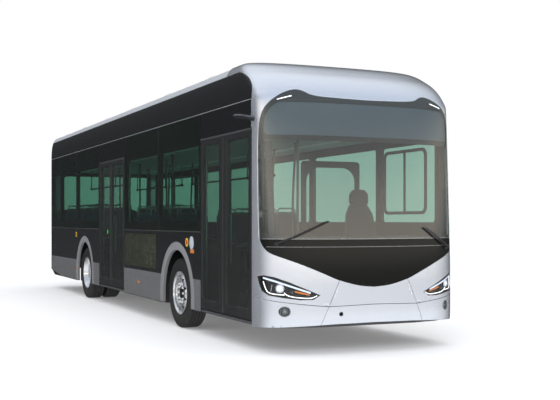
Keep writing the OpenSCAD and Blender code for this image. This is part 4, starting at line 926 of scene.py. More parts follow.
# ------------------------------------------------------------------ sides
BAYS_K = [(2.252, 4.066), (4.074, 5.948), (7.672, 9.526), (9.534, 11.096), (11.104, 12.080)]
BAYS_R = [(0.568, 1.996), (2.004, 4.066), (4.074, 5.948), (5.956, 7.664), (7.672, 9.526), (9.534, 11.096), (11.104, 12.080)]
FX = 1.267
HW = 1.275
gl = Mesh()
fr = Mesh()
for k, bays in ((-1, BAYS_K), (1, BAYS_R)):
    sf = SideFlat(k, HW - 0.0008)
    for a, b in bays:
        hole = rrect(a + 0.062, 1.455, b - 0.062, 2.450, 0.045)
        pane(sf, rrect(a, 1.334, b, 2.836, 0.003, 1), t=0.0062, out=gl)
        flat(SideFlat(k, HW - 0.0072), rrect(a, 1.334, b, 2.836, 0.003, 1), 0.001, holes=[hole], edge=0.0, out=fr)
for a, b in ((0.564, 2.240), (5.960, 7.660)):
    flat(SideFlat(-1, HW - 0.0008), rrect(a, 2.5245, b, 2.836, 0.003, 1), 0.0072, edge=0.001, out=fr)
    fr.m[-1] = 0
gl.to("side_window_panes", ["glass_side", "pane_inner"], slot="glass_tint", rep=("side_windows",))
fr.to("side_window_borders", "frit", slot="body_dark")
lw_ = Mesh()
pane(SideFlat(-1, HW - 0.0008), rrect(4.184, 0.770, 5.886, 1.270, 0.02), t=0.0062, out=lw_)
lw_.to("low_window_pane", ["glass_low", "pane_inner"], slot="glass_tint")
m = Mesh()
flat(SideFlat(-1, HW - 0.0072), rrect(4.186, 0.772, 5.884, 1.268, 0.02), 0.001, holes=[rrect(4.226, 0.812, 5.004, 1.228, 0.025), rrect(5.100, 0.812, 5.846, 1.228, 0.025)], edge=0.0, out=m)
m.to("low_window_border", "frit", slot="body_dark")

ARCH_OR, ARCH_OZ, ARCH_R, ARCH_Z = 0.755, 0.435, 0.612, 0.462
AX = (3.236, 8.840)
def arch_top(s0, r, z, lo, a0=0, a1=180, n=40):
    """Points of an arch from the rear foot over the top to the front foot."""
    return [(s0 + r, lo)] + arc(s0, z, r, 0, 180, n) + [(s0 - r, lo)]
def skin_outline(s0, s1, z0, z1, r, zc, cuts, chamfer=None):
    """Rectangle with wheel arches cut out of its lower edge, run along the bottom then back along the top."""
    pts = [(s0, z0)]
    for c in cuts:
        a = [p for p in arch_top(c, r, zc, z0)[::-1]]
        if z0 >= zc: pass
        # where the circle meets z0
        if z0 > zc:
            t = math.degrees(math.asin((z0 - zc) / r)); a = arc(c, zc, r, 180 - t, t, 40)
        a = [p for p in a if s0 - 1e-6 <= p[0] <= s1 + 1e-6]
        if a:
            if a[0][0] - s0 < 1e-3: pts = []
            pts += a
    if not pts or pts[-1][0] < s1 - 1e-4: pts.append((s1, z0))
    pts += [(s1, z1), (s0, z1)]
    out = []
    for p in pts:
        if not out or math.dist(out[-1], p) > 1e-4: out.append(p)
    return out

m = Mesh()
SP = HW - 0.0004
def dark_panel(k, s0, s1, cuts=(), holes=()):
    o = skin_outline(s0, s1, 0.714, 1.326, ARCH_OR, ARCH_OZ, cuts)
    flat(SideFlat(k, SP), o, 0.007, holes=list(holes), edge=0.0015, out=m)
louv = [rrect(s, z, s + 0.085, z + 0.036, 0.008, 3) for s in (11.815, 11.945) for z in [0.80 + 0.062 * i for i in range(7)]]
LOWCUT = rrect(4.178, 0.764, 5.892, 1.276, 0.006, 2)
dark_panel(-1, 2.250, 4.068, (AX[0],))
dark_panel(-1, 4.072, 5.950, (), [LOWCUT])
dark_panel(-1, 7.670, 9.528, (AX[1],))
# the bay over the rear wheel ends in the service panels
dark_panel(-1, 9.532, 11.098, (AX[1],))
dark_panel(-1, 11.102, 12.080, (), louv)
dark_panel(1, 0.566, 1.998)
dark_panel(1, 2.002, 4.068, (AX[0],))
dark_panel(1, 4.072, 5.950)
dark_panel(1, 5.954, 7.666)
dark_panel(1, 7.670, 9.528, (AX[1],))
dark_panel(1, 9.532, 11.098, (AX[1],))
dark_panel(1, 11.102, 12.080, (), louv)
m.to("side_lower_panels", "black_gloss", slot="body_dark", rep=("side_panels",))
# slats behind the louvres
m = Mesh()
for k in (1, -1):
    for s in (11.815, 11.945):
        for i in range(7):
            z = 0.80 + 0.062 * i
            v = [(k * (HW - 0.010), Y(s - 0.004), z + 0.040), (k * (HW - 0.010), Y(s + 0.089), z + 0.040), (k * (HW - 0.003), Y(s + 0.089), z + 0.008), (k * (HW - 0.003), Y(s - 0.004), z + 0.008)]
            w = [(a - k * 0.0025, b, c) for a, b, c in v]
            fcs = [(0, 1, 2, 3), (7, 6, 5, 4), (0, 4, 5, 1), (1, 5, 6, 2), (2, 6, 7, 3), (3, 7, 4, 0)]
            m.add(v + w, fcs if k > 0 else [f[::-1] for f in fcs])
        flat(SideFlat(k, HW - 0.0115), rrect(s - 0.015, 0.785, s + 0.10, 1.225, 0.005, 1), 0.002, edge=0, out=m)
m.to("service_louvres", "frame", slot="trim_black", smooth=False)

# skirts
m = Mesh()
AO = math.sqrt(ARCH_OR ** 2 - (0.71 - ARCH_OZ) ** 2)
def sk(k, s0, s1, rear=False, slots=False):
    o = []
    # lower run
    lo0, lo1 = s0, s1
    left_arch = [c for c in AX if abs(c - s0) < 0.2]; right_arch = [c for c in AX if abs(c - s1) < 0.2]
    if left_arch:
        c = left_arch[0]; t = math.degrees(math.asin((0.71 - ARCH_OZ) / ARCH_OR))
        leftside = arc(c, ARCH_OZ, ARCH_OR, t, 0, 10) + [(c + ARCH_OR, 0.310)]
    else: leftside = [(s0, 0.710), (s0, 0.310)]
    if right_arch:
        c = right_arch[0]; t = math.degrees(math.asin((0.71 - ARCH_OZ) / ARCH_OR))
        rightside = [(c - ARCH_OR, 0.310)] + arc(c, ARCH_OZ, ARCH_OR, 180, 180 - t, 10)
    elif rear: rightside = [(11.150, 0.312), (11.152, 0.332), (11.6, 0.366), (s1, 0.405), (s1, 0.710)]
    else: rightside = [(s1, 0.310), (s1, 0.710)]
    hol = []
    if slots: hol = [rrect(s, z, s + 0.10, z + 0.013, 0.006, 3) for s in (11.81, 11.94) for z in (0.600, 0.628, 0.656)]
    flat(SideFlat(k, SP), leftside + rightside, 0.007, holes=hol, edge=0.0025, out=m)
for k, runs in ((-1, [(2.248, AX[0]), (AX[0], 5.952), (7.668, AX[1]), (AX[1], 10.60), (10.604, 12.084)]), (1, [(0.564, AX[0]), (AX[0], 5.952), (5.956, AX[1]), (AX[1], 10.60), (10.604, 12.084)])):
    for s0, s1 in runs:
        if s0 > 10: sk(k, s0, s1, True, True)
        else: sk(k, s0, s1)
m.to("skirt_skins", "skirt", slot="skirt_grey", rep=("skirt_panels",))
# turned-in lower edge of the skirts
m = Mesh()
for k, runs in ((-1, [(2.248, 2.481), (3.991, 5.952), (7.668, 8.085), (9.595, 11.150)]), (1, [(0.564, 2.481), (3.991, 8.085), (9.595, 11.150)])):
    for s0, s1 in runs:
        v, f = box_part(k * 1.222, k * 1.2665, s0, s1, 0.3105, 0.3175); m.add(v, f)
        v, f = box_part(k * 1.222, k * 1.2265, s0, s1, 0.3105, 0.345); m.add(v, f)
m.to("skirt_returns", "skirt", slot="skirt_grey", smooth=False)

# wheel arch mouldings: a face that swells between its edges, and a lip turned inwards
class ArchBand:
    """Domain (a, w): a along the arch from the rear foot, w from the inner edge (0) to the outer edge (1)."""
    def __init__(self, k, c): 
        self.k = k; self.c = c
        self.inn = [(c + ARCH_R, 0.311)] + [(c + ARCH_R, z) for z in np.linspace(0.35, ARCH_Z, 4)[:-1]] + arc(c, ARCH_Z, ARCH_R, 0, 180, 48) + [(c - ARCH_R, z) for z in np.linspace(ARCH_Z, 0.35, 4)[1:]] + [(c - ARCH_R, 0.311)]
        R = ARCH_OR - 0.004
        self.out = [(c + R, 0.311)] + [(c + R, z) for z in np.linspace(0.35, ARCH_OZ, 4)[:-1]] + arc(c, ARCH_OZ, R, 0, 180, 48) + [(c - R, z) for z in np.linspace(ARCH_OZ, 0.35, 4)[1:]] + [(c - R, 0.311)]
m = Mesh()
for k in (1, -1):
    for c in AX:
        b = ArchBand(k, c)
        prof = [(0.0, 1.2300), (0.0, 1.2680), (0.02, 1.2715), (0.06, 1.2738), (0.15, 1.2746), (0.5, 1.2748), (0.85, 1.2744), (0.94, 1.2730), (0.985, 1.2705), (1.0, 1.2680), (0.97, 1.2675), (0.06, 1.2660), (0.045, 1.2600), (0.045, 1.2300)]
        n = len(b.inn); v = []
        for (s0, z0), (s1, z1) in zip(b.inn, b.out):
            for w, x in prof: v.append((k * x, Y(s0 + (s1 - s0) * w), z0 + (z1 - z0) * w))
        p = len(prof); f = []
        for i in range(n - 1):
            for j in range(p):
                q = (i * p + j, i * p + (j + 1) % p, (i + 1) * p + (j + 1) % p, (i + 1) * p + j)
                f.append(q if k < 0 else q[::-1])
        f.append(tuple(range(p)) if k > 0 else tuple(range(p - 1, -1, -1)))
        e = [(n - 1) * p + j for j in range(p)]
        f.append(tuple(e[::-1]) if k > 0 else tuple(e))
        sh = []
        for i in range(n - 1):
            for j in (0, 1, 9, 10, 11, 13): sh.append((i * p + j, (i + 1) * p + j))
        for j in range(p): sh += [(j, (j + 1) % p), ((n - 1) * p + j, (n - 1) * p + (j + 1) % p)]
        m.add(v, f, 0, sh)
m.to("wheel_arch_mouldings", "arch", slot="arch_grey", rep=("wheel_arch_trims",))

# cove panels over the windows
m = Mesh()
CS = spline(COVE, 4)
CUTS = [1.424, 2.246, 4.068, 5.950, 7.666, 9.528, 11.098, 12.080]
for k in (1, -1):
    o = nose.sz(k, CS + [(1.05, 3.2055), (1.25, 3.2055), (1.424, 3.2055)] + [(1.424, z) for z in (3.16, 3.10, 3.03, 2.94)] + [(1.424, 2.8445)])
    patch(nose, o, 0.018, h=0.03, hb=0.02, edge=0.0015, out=m)
    sd = Side(k)
    for i in range(len(CUTS) - 1):
        a, b = CUTS[i] + (0.003 if i else 0.0), CUTS[i + 1]
        o = sd.of([(a, 2.8445), (b, 2.8445), (b, 3.2055), (a, 3.2055)])
        # rows along the section only, since it is straight along the bus
        us = np.linspace(o[0][1], o[2][1], 14)
        v = []
        for s in (a, b):
            for off in (0.0, -0.018):
                P = sd.P(np.full(14, s), us) + sd.N(np.full(14, s), us) * off
                v += [tuple(x) for x in P]
        f = []; sh = []
        for j in range(13):
            A, B = j, j + 1
            q = [(A, B, B + 28, A + 28), (A + 14, A + 42, B + 42, B + 14), (A, A + 14, B + 14, B), (A + 28, B + 28, B + 42, A + 42)]
            f += q
        f += [(0, 28, 42, 14), (13, 27, 55, 41)]
        for j in range(13): sh += [(j, j + 1), (j + 28, j + 29), (j + 14, j + 15), (j + 42, j + 43)]
        sh += [(0, 28), (13, 41), (14, 42), (27, 55), (0, 14), (13, 27), (28, 42), (41, 55)]
        if k > 0: f = [q[::-1] for q in f]
        m.add(v, f, 0, sh)
m.to("cove_skins", "black_gloss", slot="body_dark", rep=("cove_panels",))
# light line over the windows, light line at the waist
m = Mesh()
for k in (1, -1):
    v, f = box_part(k * 1.255, k * 1.2748, 0.562, 12.080, 2.8370, 2.8434); m.add(v, f)
m.to("side_trim_lines", "side_line", slot="rim_chrome", smooth=False)
m = Mesh()
for k in (1, -1):
    for s0, s1 in (((2.250, 5.950), (7.670, 12.080)) if k < 0 else ((0.566, 12.080),)):
        v, f = box_part(k * 1.255, k * 1.2748, s0, s1, 1.3272, 1.3328); m.add(v, f)
m.to("waist_trim_lines", "waist", slot="rim_chrome", smooth=False)
# grey gaskets in the joints between the panes
m = Mesh()
for k, bays in ((-1, BAYS_K), (1, BAYS_R)):
    for (a0, b0), (a1, b1) in zip(bays[:-1], bays[1:]):
        if a1 - b0 < 0.02:
            v, f = box_part(k * 1.262, k * 1.2738, b0 + 0.0010, a1 - 0.0010, 1.336, 2.834); m.add(v, f)
m.to("side_joint_gaskets", "gasket", slot="trim_black", smooth=False)

# ------------------------------------------------------------------ roof
m = Mesh()
cE = float(UC - u_of_z(3.2105))
o = [(1.424, -cE), (1.424, -0.25), (1.385, -0.20), (1.385, 0.20), (1.424, 0.25), (1.424, cE), (12.080, cE), (12.080, -cE)]
def roof_hole(s, w, d): return rrect(s - d / 2, -w / 2, s + d / 2, w / 2, 0.06, 5)
holes = [roof_hole(3.9, 0.76, 0.76), roof_hole(9.2, 0.76, 0.76)]
patch(Roof(), o, 0.03, h=0.16, hb=0.10, holes=holes, off=-0.0006, edge=0.002, out=m)
# cross seams as fine beads
rf = Roof()
for s in (2.246, 4.068, 5.950, 7.666, 9.528, 11.098):
    cs = np.linspace(-cE + 0.02, cE - 0.02, 60)
    if s in (4.068, 9.528): pass
    P = rf.P(np.full(60, s), cs) + rf.N(np.full(60, s), cs) * -0.0018
    v, f = tube(list(P), 0.0022, 6); m.add(v, f)
m.to("roof_skin", "roof_paint", slot="body_silver", rep=("roof",))
m = Mesh()
for s in (3.9, 9.2):
    patch(Roof(), rrect(s - 0.374, -0.374, s + 0.374, 0.374, 0.055, 5), 0.024, h=0.1, hb=0.05, off=-0.0025, edge=0.006, out=m)
    patch(Roof(), rrect(s - 0.30, -0.30, s + 0.30, 0.30, 0.05, 5), 0.004, h=0.1, hb=0.05, off=-0.0008, edge=0.0015, out=m)
m.to("roof_hatches", "lining", slot="lining_light")

# ------------------------------------------------------------------ rear
rr_ = Rear()
c0 = float(UC - u_of_z(0.645)); cz = float(UC - u_of_z(3.12)); T1 = RR * math.pi / 2
def strip_patch(surf, c0, c1, nc, t0, t1, nt_, th, out, off=0.0):
    cs = np.linspace(c0, c1, nc); ts = np.linspace(t0, t1, nt_)
    C, T = np.meshgrid(cs, ts, indexing="ij")
    P = surf.P(C.ravel(), T.ravel()); N = surf.N(C.ravel(), T.ravel())
    n = nc * nt_
    v = [tuple(p) for p in P + N * off] + [tuple(p) for p in P + N * (off - th)]
    f = []
    idx = lambda i, j: i * nt_ + j
    for i in range(nc - 1):
        for j in range(nt_ - 1):
            a, b, c, d = idx(i, j), idx(i + 1, j), idx(i + 1, j + 1), idx(i, j + 1)
            f += [(a, b, c, d), (d + n, c + n, b + n, a + n)]
    for i in range(nc - 1):
        a, b = idx(i, 0), idx(i + 1, 0); f.append((b, a, a + n, b + n))
        a, b = idx(i, nt_ - 1), idx(i + 1, nt_ - 1); f.append((a, b, b + n, a + n))
    for j in range(nt_ - 1):
        a, b = idx(0, j), idx(0, j + 1); f.append((a, b, b + n, a + n))
        a, b = idx(nc - 1, j), idx(nc - 1, j + 1); f.append((b, a, a + n, b + n))
    i0 = idx(1, 1); g = np.cross(P[idx(1, 0)] - P[idx(0, 0)], P[idx(0, 1)] - P[idx(0, 0)])
    if np.dot(g, N[0]) < 0: f = [q[::-1] for q in f]
    sh = []
    for i in range(nc - 1):
        for j in (0, nt_ - 1): sh += [(idx(i, j), idx(i + 1, j)), (idx(i, j) + n, idx(i + 1, j) + n)]
    for j in range(nt_ - 1):
        for i in (0, nc - 1): sh += [(idx(i, j), idx(i, j + 1)), (idx(i, j) + n, idx(i, j + 1) + n)]
    out.add(v, f, 0, sh)
m = Mesh()
strip_patch(rr_, -cz, cz, 90, 0.0, T1, 9, 0.016, m)
# the rear face inside the rounded edge
zt = TOP - RR; xw = 1.275 - RR
def rear_in(z): return float(np.interp(z, _secz, _secx)) - RR
edge_pts = []
for c in np.linspace(cz, 0, 30):
    x, z, nx, nz = rr_._sec(np.array([c]))
    edge_pts.append((float(x[0] - nx[0] * RR), float(z[0] - nz[0] * RR)))
face_top = [(x, z) for x, z in edge_pts]
win_hole = rrect(-1.050, 1.560, 1.050, 2.560, 0.09, 6)
tl_hi = [rrect(0.987 * 1, 2.637, 1.123, 2.763, 0.03, 4), rrect(-1.123, 2.637, -0.987, 2.763, 0.03, 4)]
edge_lo = []
for c in np.linspace(UC - float(u_of_z(2.72)), cz + 0.003, 16):
    x, z, nx, nz = rr_._sec(np.array([c]))
    edge_lo.append((min(1.1625, float(x[0] - nx[0] * RR)), float(z[0] - nz[0] * RR)))
outl_up = [(1.1625, 2.600)] + edge_lo + face_top + [(-x, z) for x, z in face_top[::-1]][1:] + [(-x, z) for x, z in edge_lo[::-1]] + [(-1.1625, 2.600)]
flat(EndFlat(12.1988, 1), outl_up, 0.012, holes=tl_hi, edge=0.002, out=m, h=0.2, hb=0.15)
m.to("rear_top_skin", "silver", slot="body_silver")
m = Mesh()
for sg in (1, -1):
    strip_patch(rr_, sg * (cz + 0.003), sg * c0, 40, 0.0, T1, 9, 0.016, m)
m.to("rear_corner_skins", "black_gloss", slot="body_dark")
m = Mesh()
face = rrect(-1.1625, 0.645, 1.1625, 2.597, 0.004, 1)
flat(EndFlat(12.1988, 1), face, 0.012, holes=[win_hole, rrect(-0.906, 0.754, 0.906, 1.430, 0.012, 4), rrect(0.987, 0.897, 1.123, 1.483, 0.04, 5), rrect(-1.123, 0.897, -0.987, 1.483, 0.04, 5)], edge=0.002, out=m, h=BIG, hb=0.3)
m.to("rear_face_skin", "silver", slot="body_silver", rep=("rear_panel",))
m = Mesh()
pane(EndFlat(12.1955, 1), rrect(-1.046, 1.564, 1.046, 2.556, 0.086, 6), t=0.006, out=m)
m.to("rear_window_pane", ["glass_side", "pane_inner"], slot="glass_tint", rep=("rear_window",))
m = Mesh()
flat(EndFlat(12.189, 1), rrect(-1.048, 1.562, 1.048, 2.558, 0.088, 6), 0.006, holes=[rrect(-0.97, 1.64, 0.97, 2.48, 0.06, 6)], edge=0.001, out=m)
m.to("rear_window_border", "frit", slot="body_dark")
# rear bumper with its rounded corners
m = Mesh()
c1 = float(UC - u_of_z(0.412)); c2 = float(UC - u_of_z(0.641))
for sg in (1, -1): strip_patch(rr_, sg * c2, sg * c1, 10, 0.0, T1, 9, 0.016, m)
flat(EndFlat(12.1988, 1), rrect(-1.1625, 0.412, 1.1625, 0.641, 0.004, 1), 0.02, holes=[circ(-0.42, 0.50, 0.026, 24)], edge=0.003, out=m, h=BIG, hb=0.2)
m.to("rear_bumper_skin", "skirt", slot="skirt_grey", rep=("rear_bumper", "rear_bumper_corner", "rear_tow_panel"))
m = Mesh()
flat(EndFlat(12.1995, 1), rrect(-0.26, 0.46, 0.26, 0.57, 0.008, 3), 0.004, edge=0.0015, out=m)
m.to("rear_plate_blank", "plate", slot="lining_light")
# rear lamps: a housing, a red lens with cells, a clear and an amber part
hs, rd, am, wl = Mesh(), Mesh(), Mesh(), Mesh()
for sg in (1, -1):
    def R(a0, b0, a1, b1, r=0.02): return rrect(min(sg * a0, sg * a1), b0, max(sg * a0, sg * a1), b1, r, 5)
    flat(EndFlat(12.184, 1), R(0.990, 0.90, 1.120, 1.48, 0.038), 0.03, edge=0.002, out=hs)
    flat(EndFlat(12.184, 1), R(0.990, 2.64, 1.120, 2.76, 0.028), 0.03, edge=0.002, out=hs)
    for z0, z1, tgt in ((0.915, 1.045, am), (1.055, 1.165, wl), (1.175, 1.315, rd), (1.325, 1.465, rd)):
        flat(EndFlat(12.1965, 1), R(1.000, z0, 1.110, z1, 0.02), 0.011, edge=0.004, out=tgt)
    flat(EndFlat(12.1965, 1), R(1.000, 2.65, 1.110, 2.75, 0.02), 0.011, edge=0.004, out=rd)
hs.to("tail_light_housings", "lamp_dark", slot="trim_black", rep=("tail_lights",))
rd.to("tail_light_red_lenses", "red", slot="lamp_red")
am.to("tail_light_amber_lenses", "amber", slot="lamp_red")
wl.to("tail_light_clear_lenses", mat("lens_white_ribbed", (0.75, 0.77, 0.80), rough=0.15, coat=0.8, var=0.05, bump=0.0006, bump_scale=200, bump_kind="voronoi"), slot="lamp_clear")
# hatch with a raised field and louvres, riding on the hatch body
m = Mesh()
slots_ = [rrect(-0.62 + 0.43 * i, 0.87 + 0.05 * j, -0.62 + 0.43 * i + 0.36, 0.87 + 0.05 * j + 0.022, 0.01, 3) for i in range(3) for j in range(7)]
flat(EndFlat(12.1958, 1), rrect(-0.900, 0.760, 0.900, 1.4195, 0.012, 4), 0.012, holes=slots_, edge=0.003, out=m)
v, f = box_part(-0.895, 0.895, 12.158, 12.1835, 0.765, 0.80); m.add(v, f)
v, f = box_part(-0.895, 0.895, 12.158, 12.1835, 1.375, 1.412); m.add(v, f)
v, f = tube([(-0.85, Y(12.197), 1.4245), (0.85, Y(12.197), 1.4245)], 0.0025, 10); m.add(v, f)
m.to("rear_hatch_skin", "skirt", body="rear_hatch", slot="skirt_grey", rep=("rear_hatch",))
m = Mesh()
flat(EndFlat(12.170, 1), rrect(-0.885, 0.80, 0.885, 1.375, 0.01, 3), 0.010, edge=0.001, out=m)
for i in range(3):
    for j in range(7):
        a = -0.625 + 0.43 * i; z = 0.868 + 0.05 * j
        v = [(a, Y(12.176), z + 0.030), (a + 0.37, Y(12.176), z + 0.030), (a + 0.37, Y(12.1935), z - 0.002), (a, Y(12.1935), z - 0.002)]
        w = [(p, q - 0.002, r - 0.003) for p, q, r in v]
        m.add(v + w, [(3, 2, 1, 0), (4, 5, 6, 7), (0, 1, 5, 4), (1, 2, 6, 5), (2, 3, 7, 6), (3, 0, 4, 7)])
m.to("rear_hatch_louvres", "trim", body="rear_hatch", slot="trim_black", smooth=False)
m = Mesh()
v, f = lathe([(0, 0.0), (0.022, 0.0), (0.022, 0.003), (0.012, 0.0036), (0, 0.0036)], (0.0, Y(12.1958), 0.80), (0, 1, 0), 24); m.add(v, f)
m.to("rear_hatch_lock", "steel", body="rear_hatch", slot="post_steel")

# ------------------------------------------------------------------ doors
LEAVES = {"front_door_front": (0.536, 1.435, 1), "front_door_rear": (2.244, 1.445, -1), "rear_door_front": (5.956, 6.835, 1), "rear_door_rear": (7.664, 6.845, -1)}
LX = HW - 0.0006
for name, (j, far, d) in LEAVES.items():
    body = name + "_leaf"
    lo, hi = min(j + 0.012 * d, far), max(j + 0.012 * d, far)
    sl, shh = (j + 0.100, far - 0.126) if d > 0 else (far + 0.126, j - 0.080)
    if name.startswith("rear_door"):
        # the rear door has narrow meeting stiles
        sl, shh = (j + 0.085, far - 0.062) if d > 0 else (far + 0.062, j - 0.085)
    m = Mesh()
    flat(SideFlat(-1, LX - 0.0035), rrect(lo, 0.354, hi, 2.492, 0.012, 3), 0.038, holes=[rrect(sl - 0.006, 0.468, shh + 0.006, 2.430, 0.044, 6)], edge=0.004, out=m)
    # raised stiles on the outside
    near0, near1 = (lo + 0.012, sl - 0.014) if d > 0 else (shh + 0.014, hi - 0.012)
    meet0, meet1 = (shh + 0.014, hi - 0.016) if d > 0 else (lo + 0.016, sl - 0.014)
    for a, b in ((near0, near1), (meet0, meet1)):
        if b - a > 0.02: flat(SideFlat(-1, LX), rrect(a, 0.463, b, 2.432, 0.004, 2), 0.006, edge=0.003, out=m)
    flat(SideFlat(-1, LX), rrect(lo + 0.012, 2.440, hi - 0.012, 2.484, 0.008, 3), 0.006, edge=0.003, out=m)
    flat(SideFlat(-1, LX), rrect(lo + 0.012, 0.366, hi - 0.012, 0.455, 0.008, 3), 0.006, edge=0.003, out=m)
    m.to(body + "_frame", "door", body=body, slot="door_grey", rep=(body,))
    m = Mesh()
    flat(SideFlat(-1, HW - 0.0035), rrect(sl - 0.006, 0.468, shh + 0.006, 2.430, 0.044, 6), 0.006, holes=[rrect(sl + 0.006, 0.480, shh - 0.006, 2.418, 0.036, 6)], edge=0.0015, out=m)
    flat(SideFlat(-1, HW - 0.036), rrect(sl - 0.012, 0.462, shh + 0.012, 2.436, 0.05, 6), 0.008, holes=[rrect(sl + 0.004, 0.478, shh - 0.004, 2.420, 0.04, 6)], edge=0.002, out=m)
    # seals down the meeting edge and along the bottom
    e0, e1 = (far - 0.001, far + 0.0035) if d > 0 else (far - 0.0035, far + 0.001)
    v, f = box_part(-1.268, -1.238, e0, e1, 0.36, 2.488); m.add(v, f)
    v, f = box_part(-1.262, -1.244, lo + 0.01, hi - 0.01, 0.3500, 0.356); m.add(v, f)
    m.to(body + "_rubber", "rubber", body=body, slot="trim_black")
    m = Mesh()
    pane(SideFlat(-1, HW - 0.0055), rrect(sl, 0.474, shh, 2.424, 0.04, 6), t=0.006, out=m)
    m.to(name + "_pane", ["glass_door", "pane_inner"], body=body, slot="glass_tint", rep=(name + "_glass",))
    # grab handle and hinge brackets on the inside
    m = Mesh()
    so = j - 0.028 * d; arm = abs(far - 0.008 * d - so) / 2; piv = so + d * arm
    hs_ = far - 0.060 * d
    v, f = tube(smooth_path([(-1.232, Y(hs_), 0.95), (-1.196, Y(hs_), 0.97), (-1.196, Y(hs_), 1.55), (-1.232, Y(hs_), 1.57)], 0.03, 6), 0.011, 12); m.add(v, f)
    for z in (0.354, 2.474):
        v, f = box_part(-1.234, -1.168, piv - 0.024, piv + 0.024, z, z + 0.016); m.add(v, f)
        v, f = revolve([(0.0105, 0), (0.024, 0), (0.024, 0.016), (0.0105, 0.016)], (-1.185, Y(piv), z), (0, 0, 1), 24); m.add(v, f)
    m.to(body + "_hardware", "steel", body=body, slot="post_steel", bevel=0.001)
# fixed frames round the doorways, headers and sills
m = Mesh()
for a, b in ((0.536, 2.244), (5.956, 7.664)):
    flat(SideFlat(-1, HW - 0.001), rrect(a + 0.002, 2.4965, b - 0.002, 2.5185, 0.003, 1), 0.03, edge=0.002, out=m)
m.to("doorway_headers", "header", slot="door_grey")
m = Mesh()
for a, b in ((0.536, 2.244), (5.956, 7.664)):
    for s0, s1 in ((a + 0.001, a + 0.008), (b - 0.008, b - 0.001)):
        v, f = box_part(-1.272, -1.232, s0, s1, 0.352, 2.4955); m.add(v, f)
m.to("doorway_frames", "door", slot="door_grey", bevel=0.0012)
m = Mesh()
for a, b in ((0.536, 2.244), (5.956, 7.664)):
    v, f = box_part(-1.262, -1.207, a + 0.004, b - 0.004, 0.3105, 0.336); m.add(v, f)
    for i in range(5):
        v, f = box_part(-1.258 + 0.010 * i, -1.254 + 0.010 * i, a + 0.02, b - 0.02, 0.336, 0.3385); m.add(v, f)
m.to("door_sills", "floor", slot="floor_grey", smooth=False)
# opening button on the rear door, on its rear leaf
m = Mesh(); r2 = Mesh()
c = (-HW + 0.0008, Y(6.935), 1.286)
m_btn = lathe([(0, 0.0), (0.030, 0.0), (0.030, 0.0005), (0.026, 0.0008), (0, 0.0008)], (-1.2732, Y(7.04 - 0.105), 1.286), (-1, 0, 0), 28)
r2.add(*revolve([(0.021, 0.0), (0.030, 0.0), (0.030, 0.0012), (0.021, 0.0012)], (-1.2722, Y(7.04), 1.286), (-1, 0, 0), 32))
r2.to("door_button_ring", "green", body="rear_door_rear_leaf", slot="lamp_clear")
m.add(*lathe([(0, -0.002), (0.038, -0.002), (0.038, 0.0), (0.034, 0.001), (0, 0.001)], (-1.2715, Y(7.04), 1.286), (-1, 0, 0), 32))
m.to("door_button", "dark_screen", body="rear_door_rear_leaf", slot="trim_black")

# small markers on the kerb side
m = Mesh()
def disc(c_s, z, rs, rz, out, th=0.0012, x=SP):
    flat(SideFlat(-1, x + th * 0.0), circ(c_s, z, rs, 32, rz), 0.003, edge=0.0008, out=out)
red_, yel, pal, amb = Mesh(), Mesh(), Mesh(), Mesh()
def side_disc(k, s, z, r, r_in, out, x0=HW - 0.0004, h=0.0006):
    c = (k * x0, Y(s), z)
    if r_in: v, f = revolve([(r_in, -0.001), (r, -0.001), (r, h), (r_in, h)], c, (k, 0, 0), 40)
    else: v, f = lathe([(0, -0.001), (r, -0.001), (r, h * 0.6), (r * 0.96, h), (0, h)], c, (k, 0, 0), 40)
    out.add(v, f)
side_disc(-1, 2.780, 1.186, 0.058, 0.036, yel)
side_disc(-1, 2.780, 1.186, 0.036, 0, red_)
side_disc(-1, 2.590, 1.183, 0.088, 0, pal, h=0.0004)
def plate_(k, s0, s1, z0, z1, out, r=0.008): flat(SideFlat(k, HW - 0.0001), rrect(s0, z0, s1, z1, r, 3), 0.0035, edge=0.001, out=out)
plate_(-1, 2.490, 2.640, 1.048, 1.098, amb)
plate_(-1, 5.045, 5.130, 0.505, 0.545, amb); plate_(-1, 9.480, 9.560, 0.520, 0.560, amb)
plate_(-1, 9.505, 9.590, 1.160, 1.256, yel); flat(SideFlat(-1, HW + 0.0), rrect(9.525, 1.180, 9.570, 1.236, 0.006, 3), 0.002, edge=0.0006, out=red_)
for s in (2.10, 5.09, 7.80, 9.52, 11.5): plate_(1, s - 0.042, s + 0.042, 0.505, 0.545, amb)
red_.to("side_marker_red", "red", slot="lamp_red"); yel.to("side_marker_yellow", "yellow", slot="lamp_red")
pal.to("side_disc_pale", "pale", slot="body_silver"); amb.to("side_marker_amber", "amber", slot="lamp_clear")

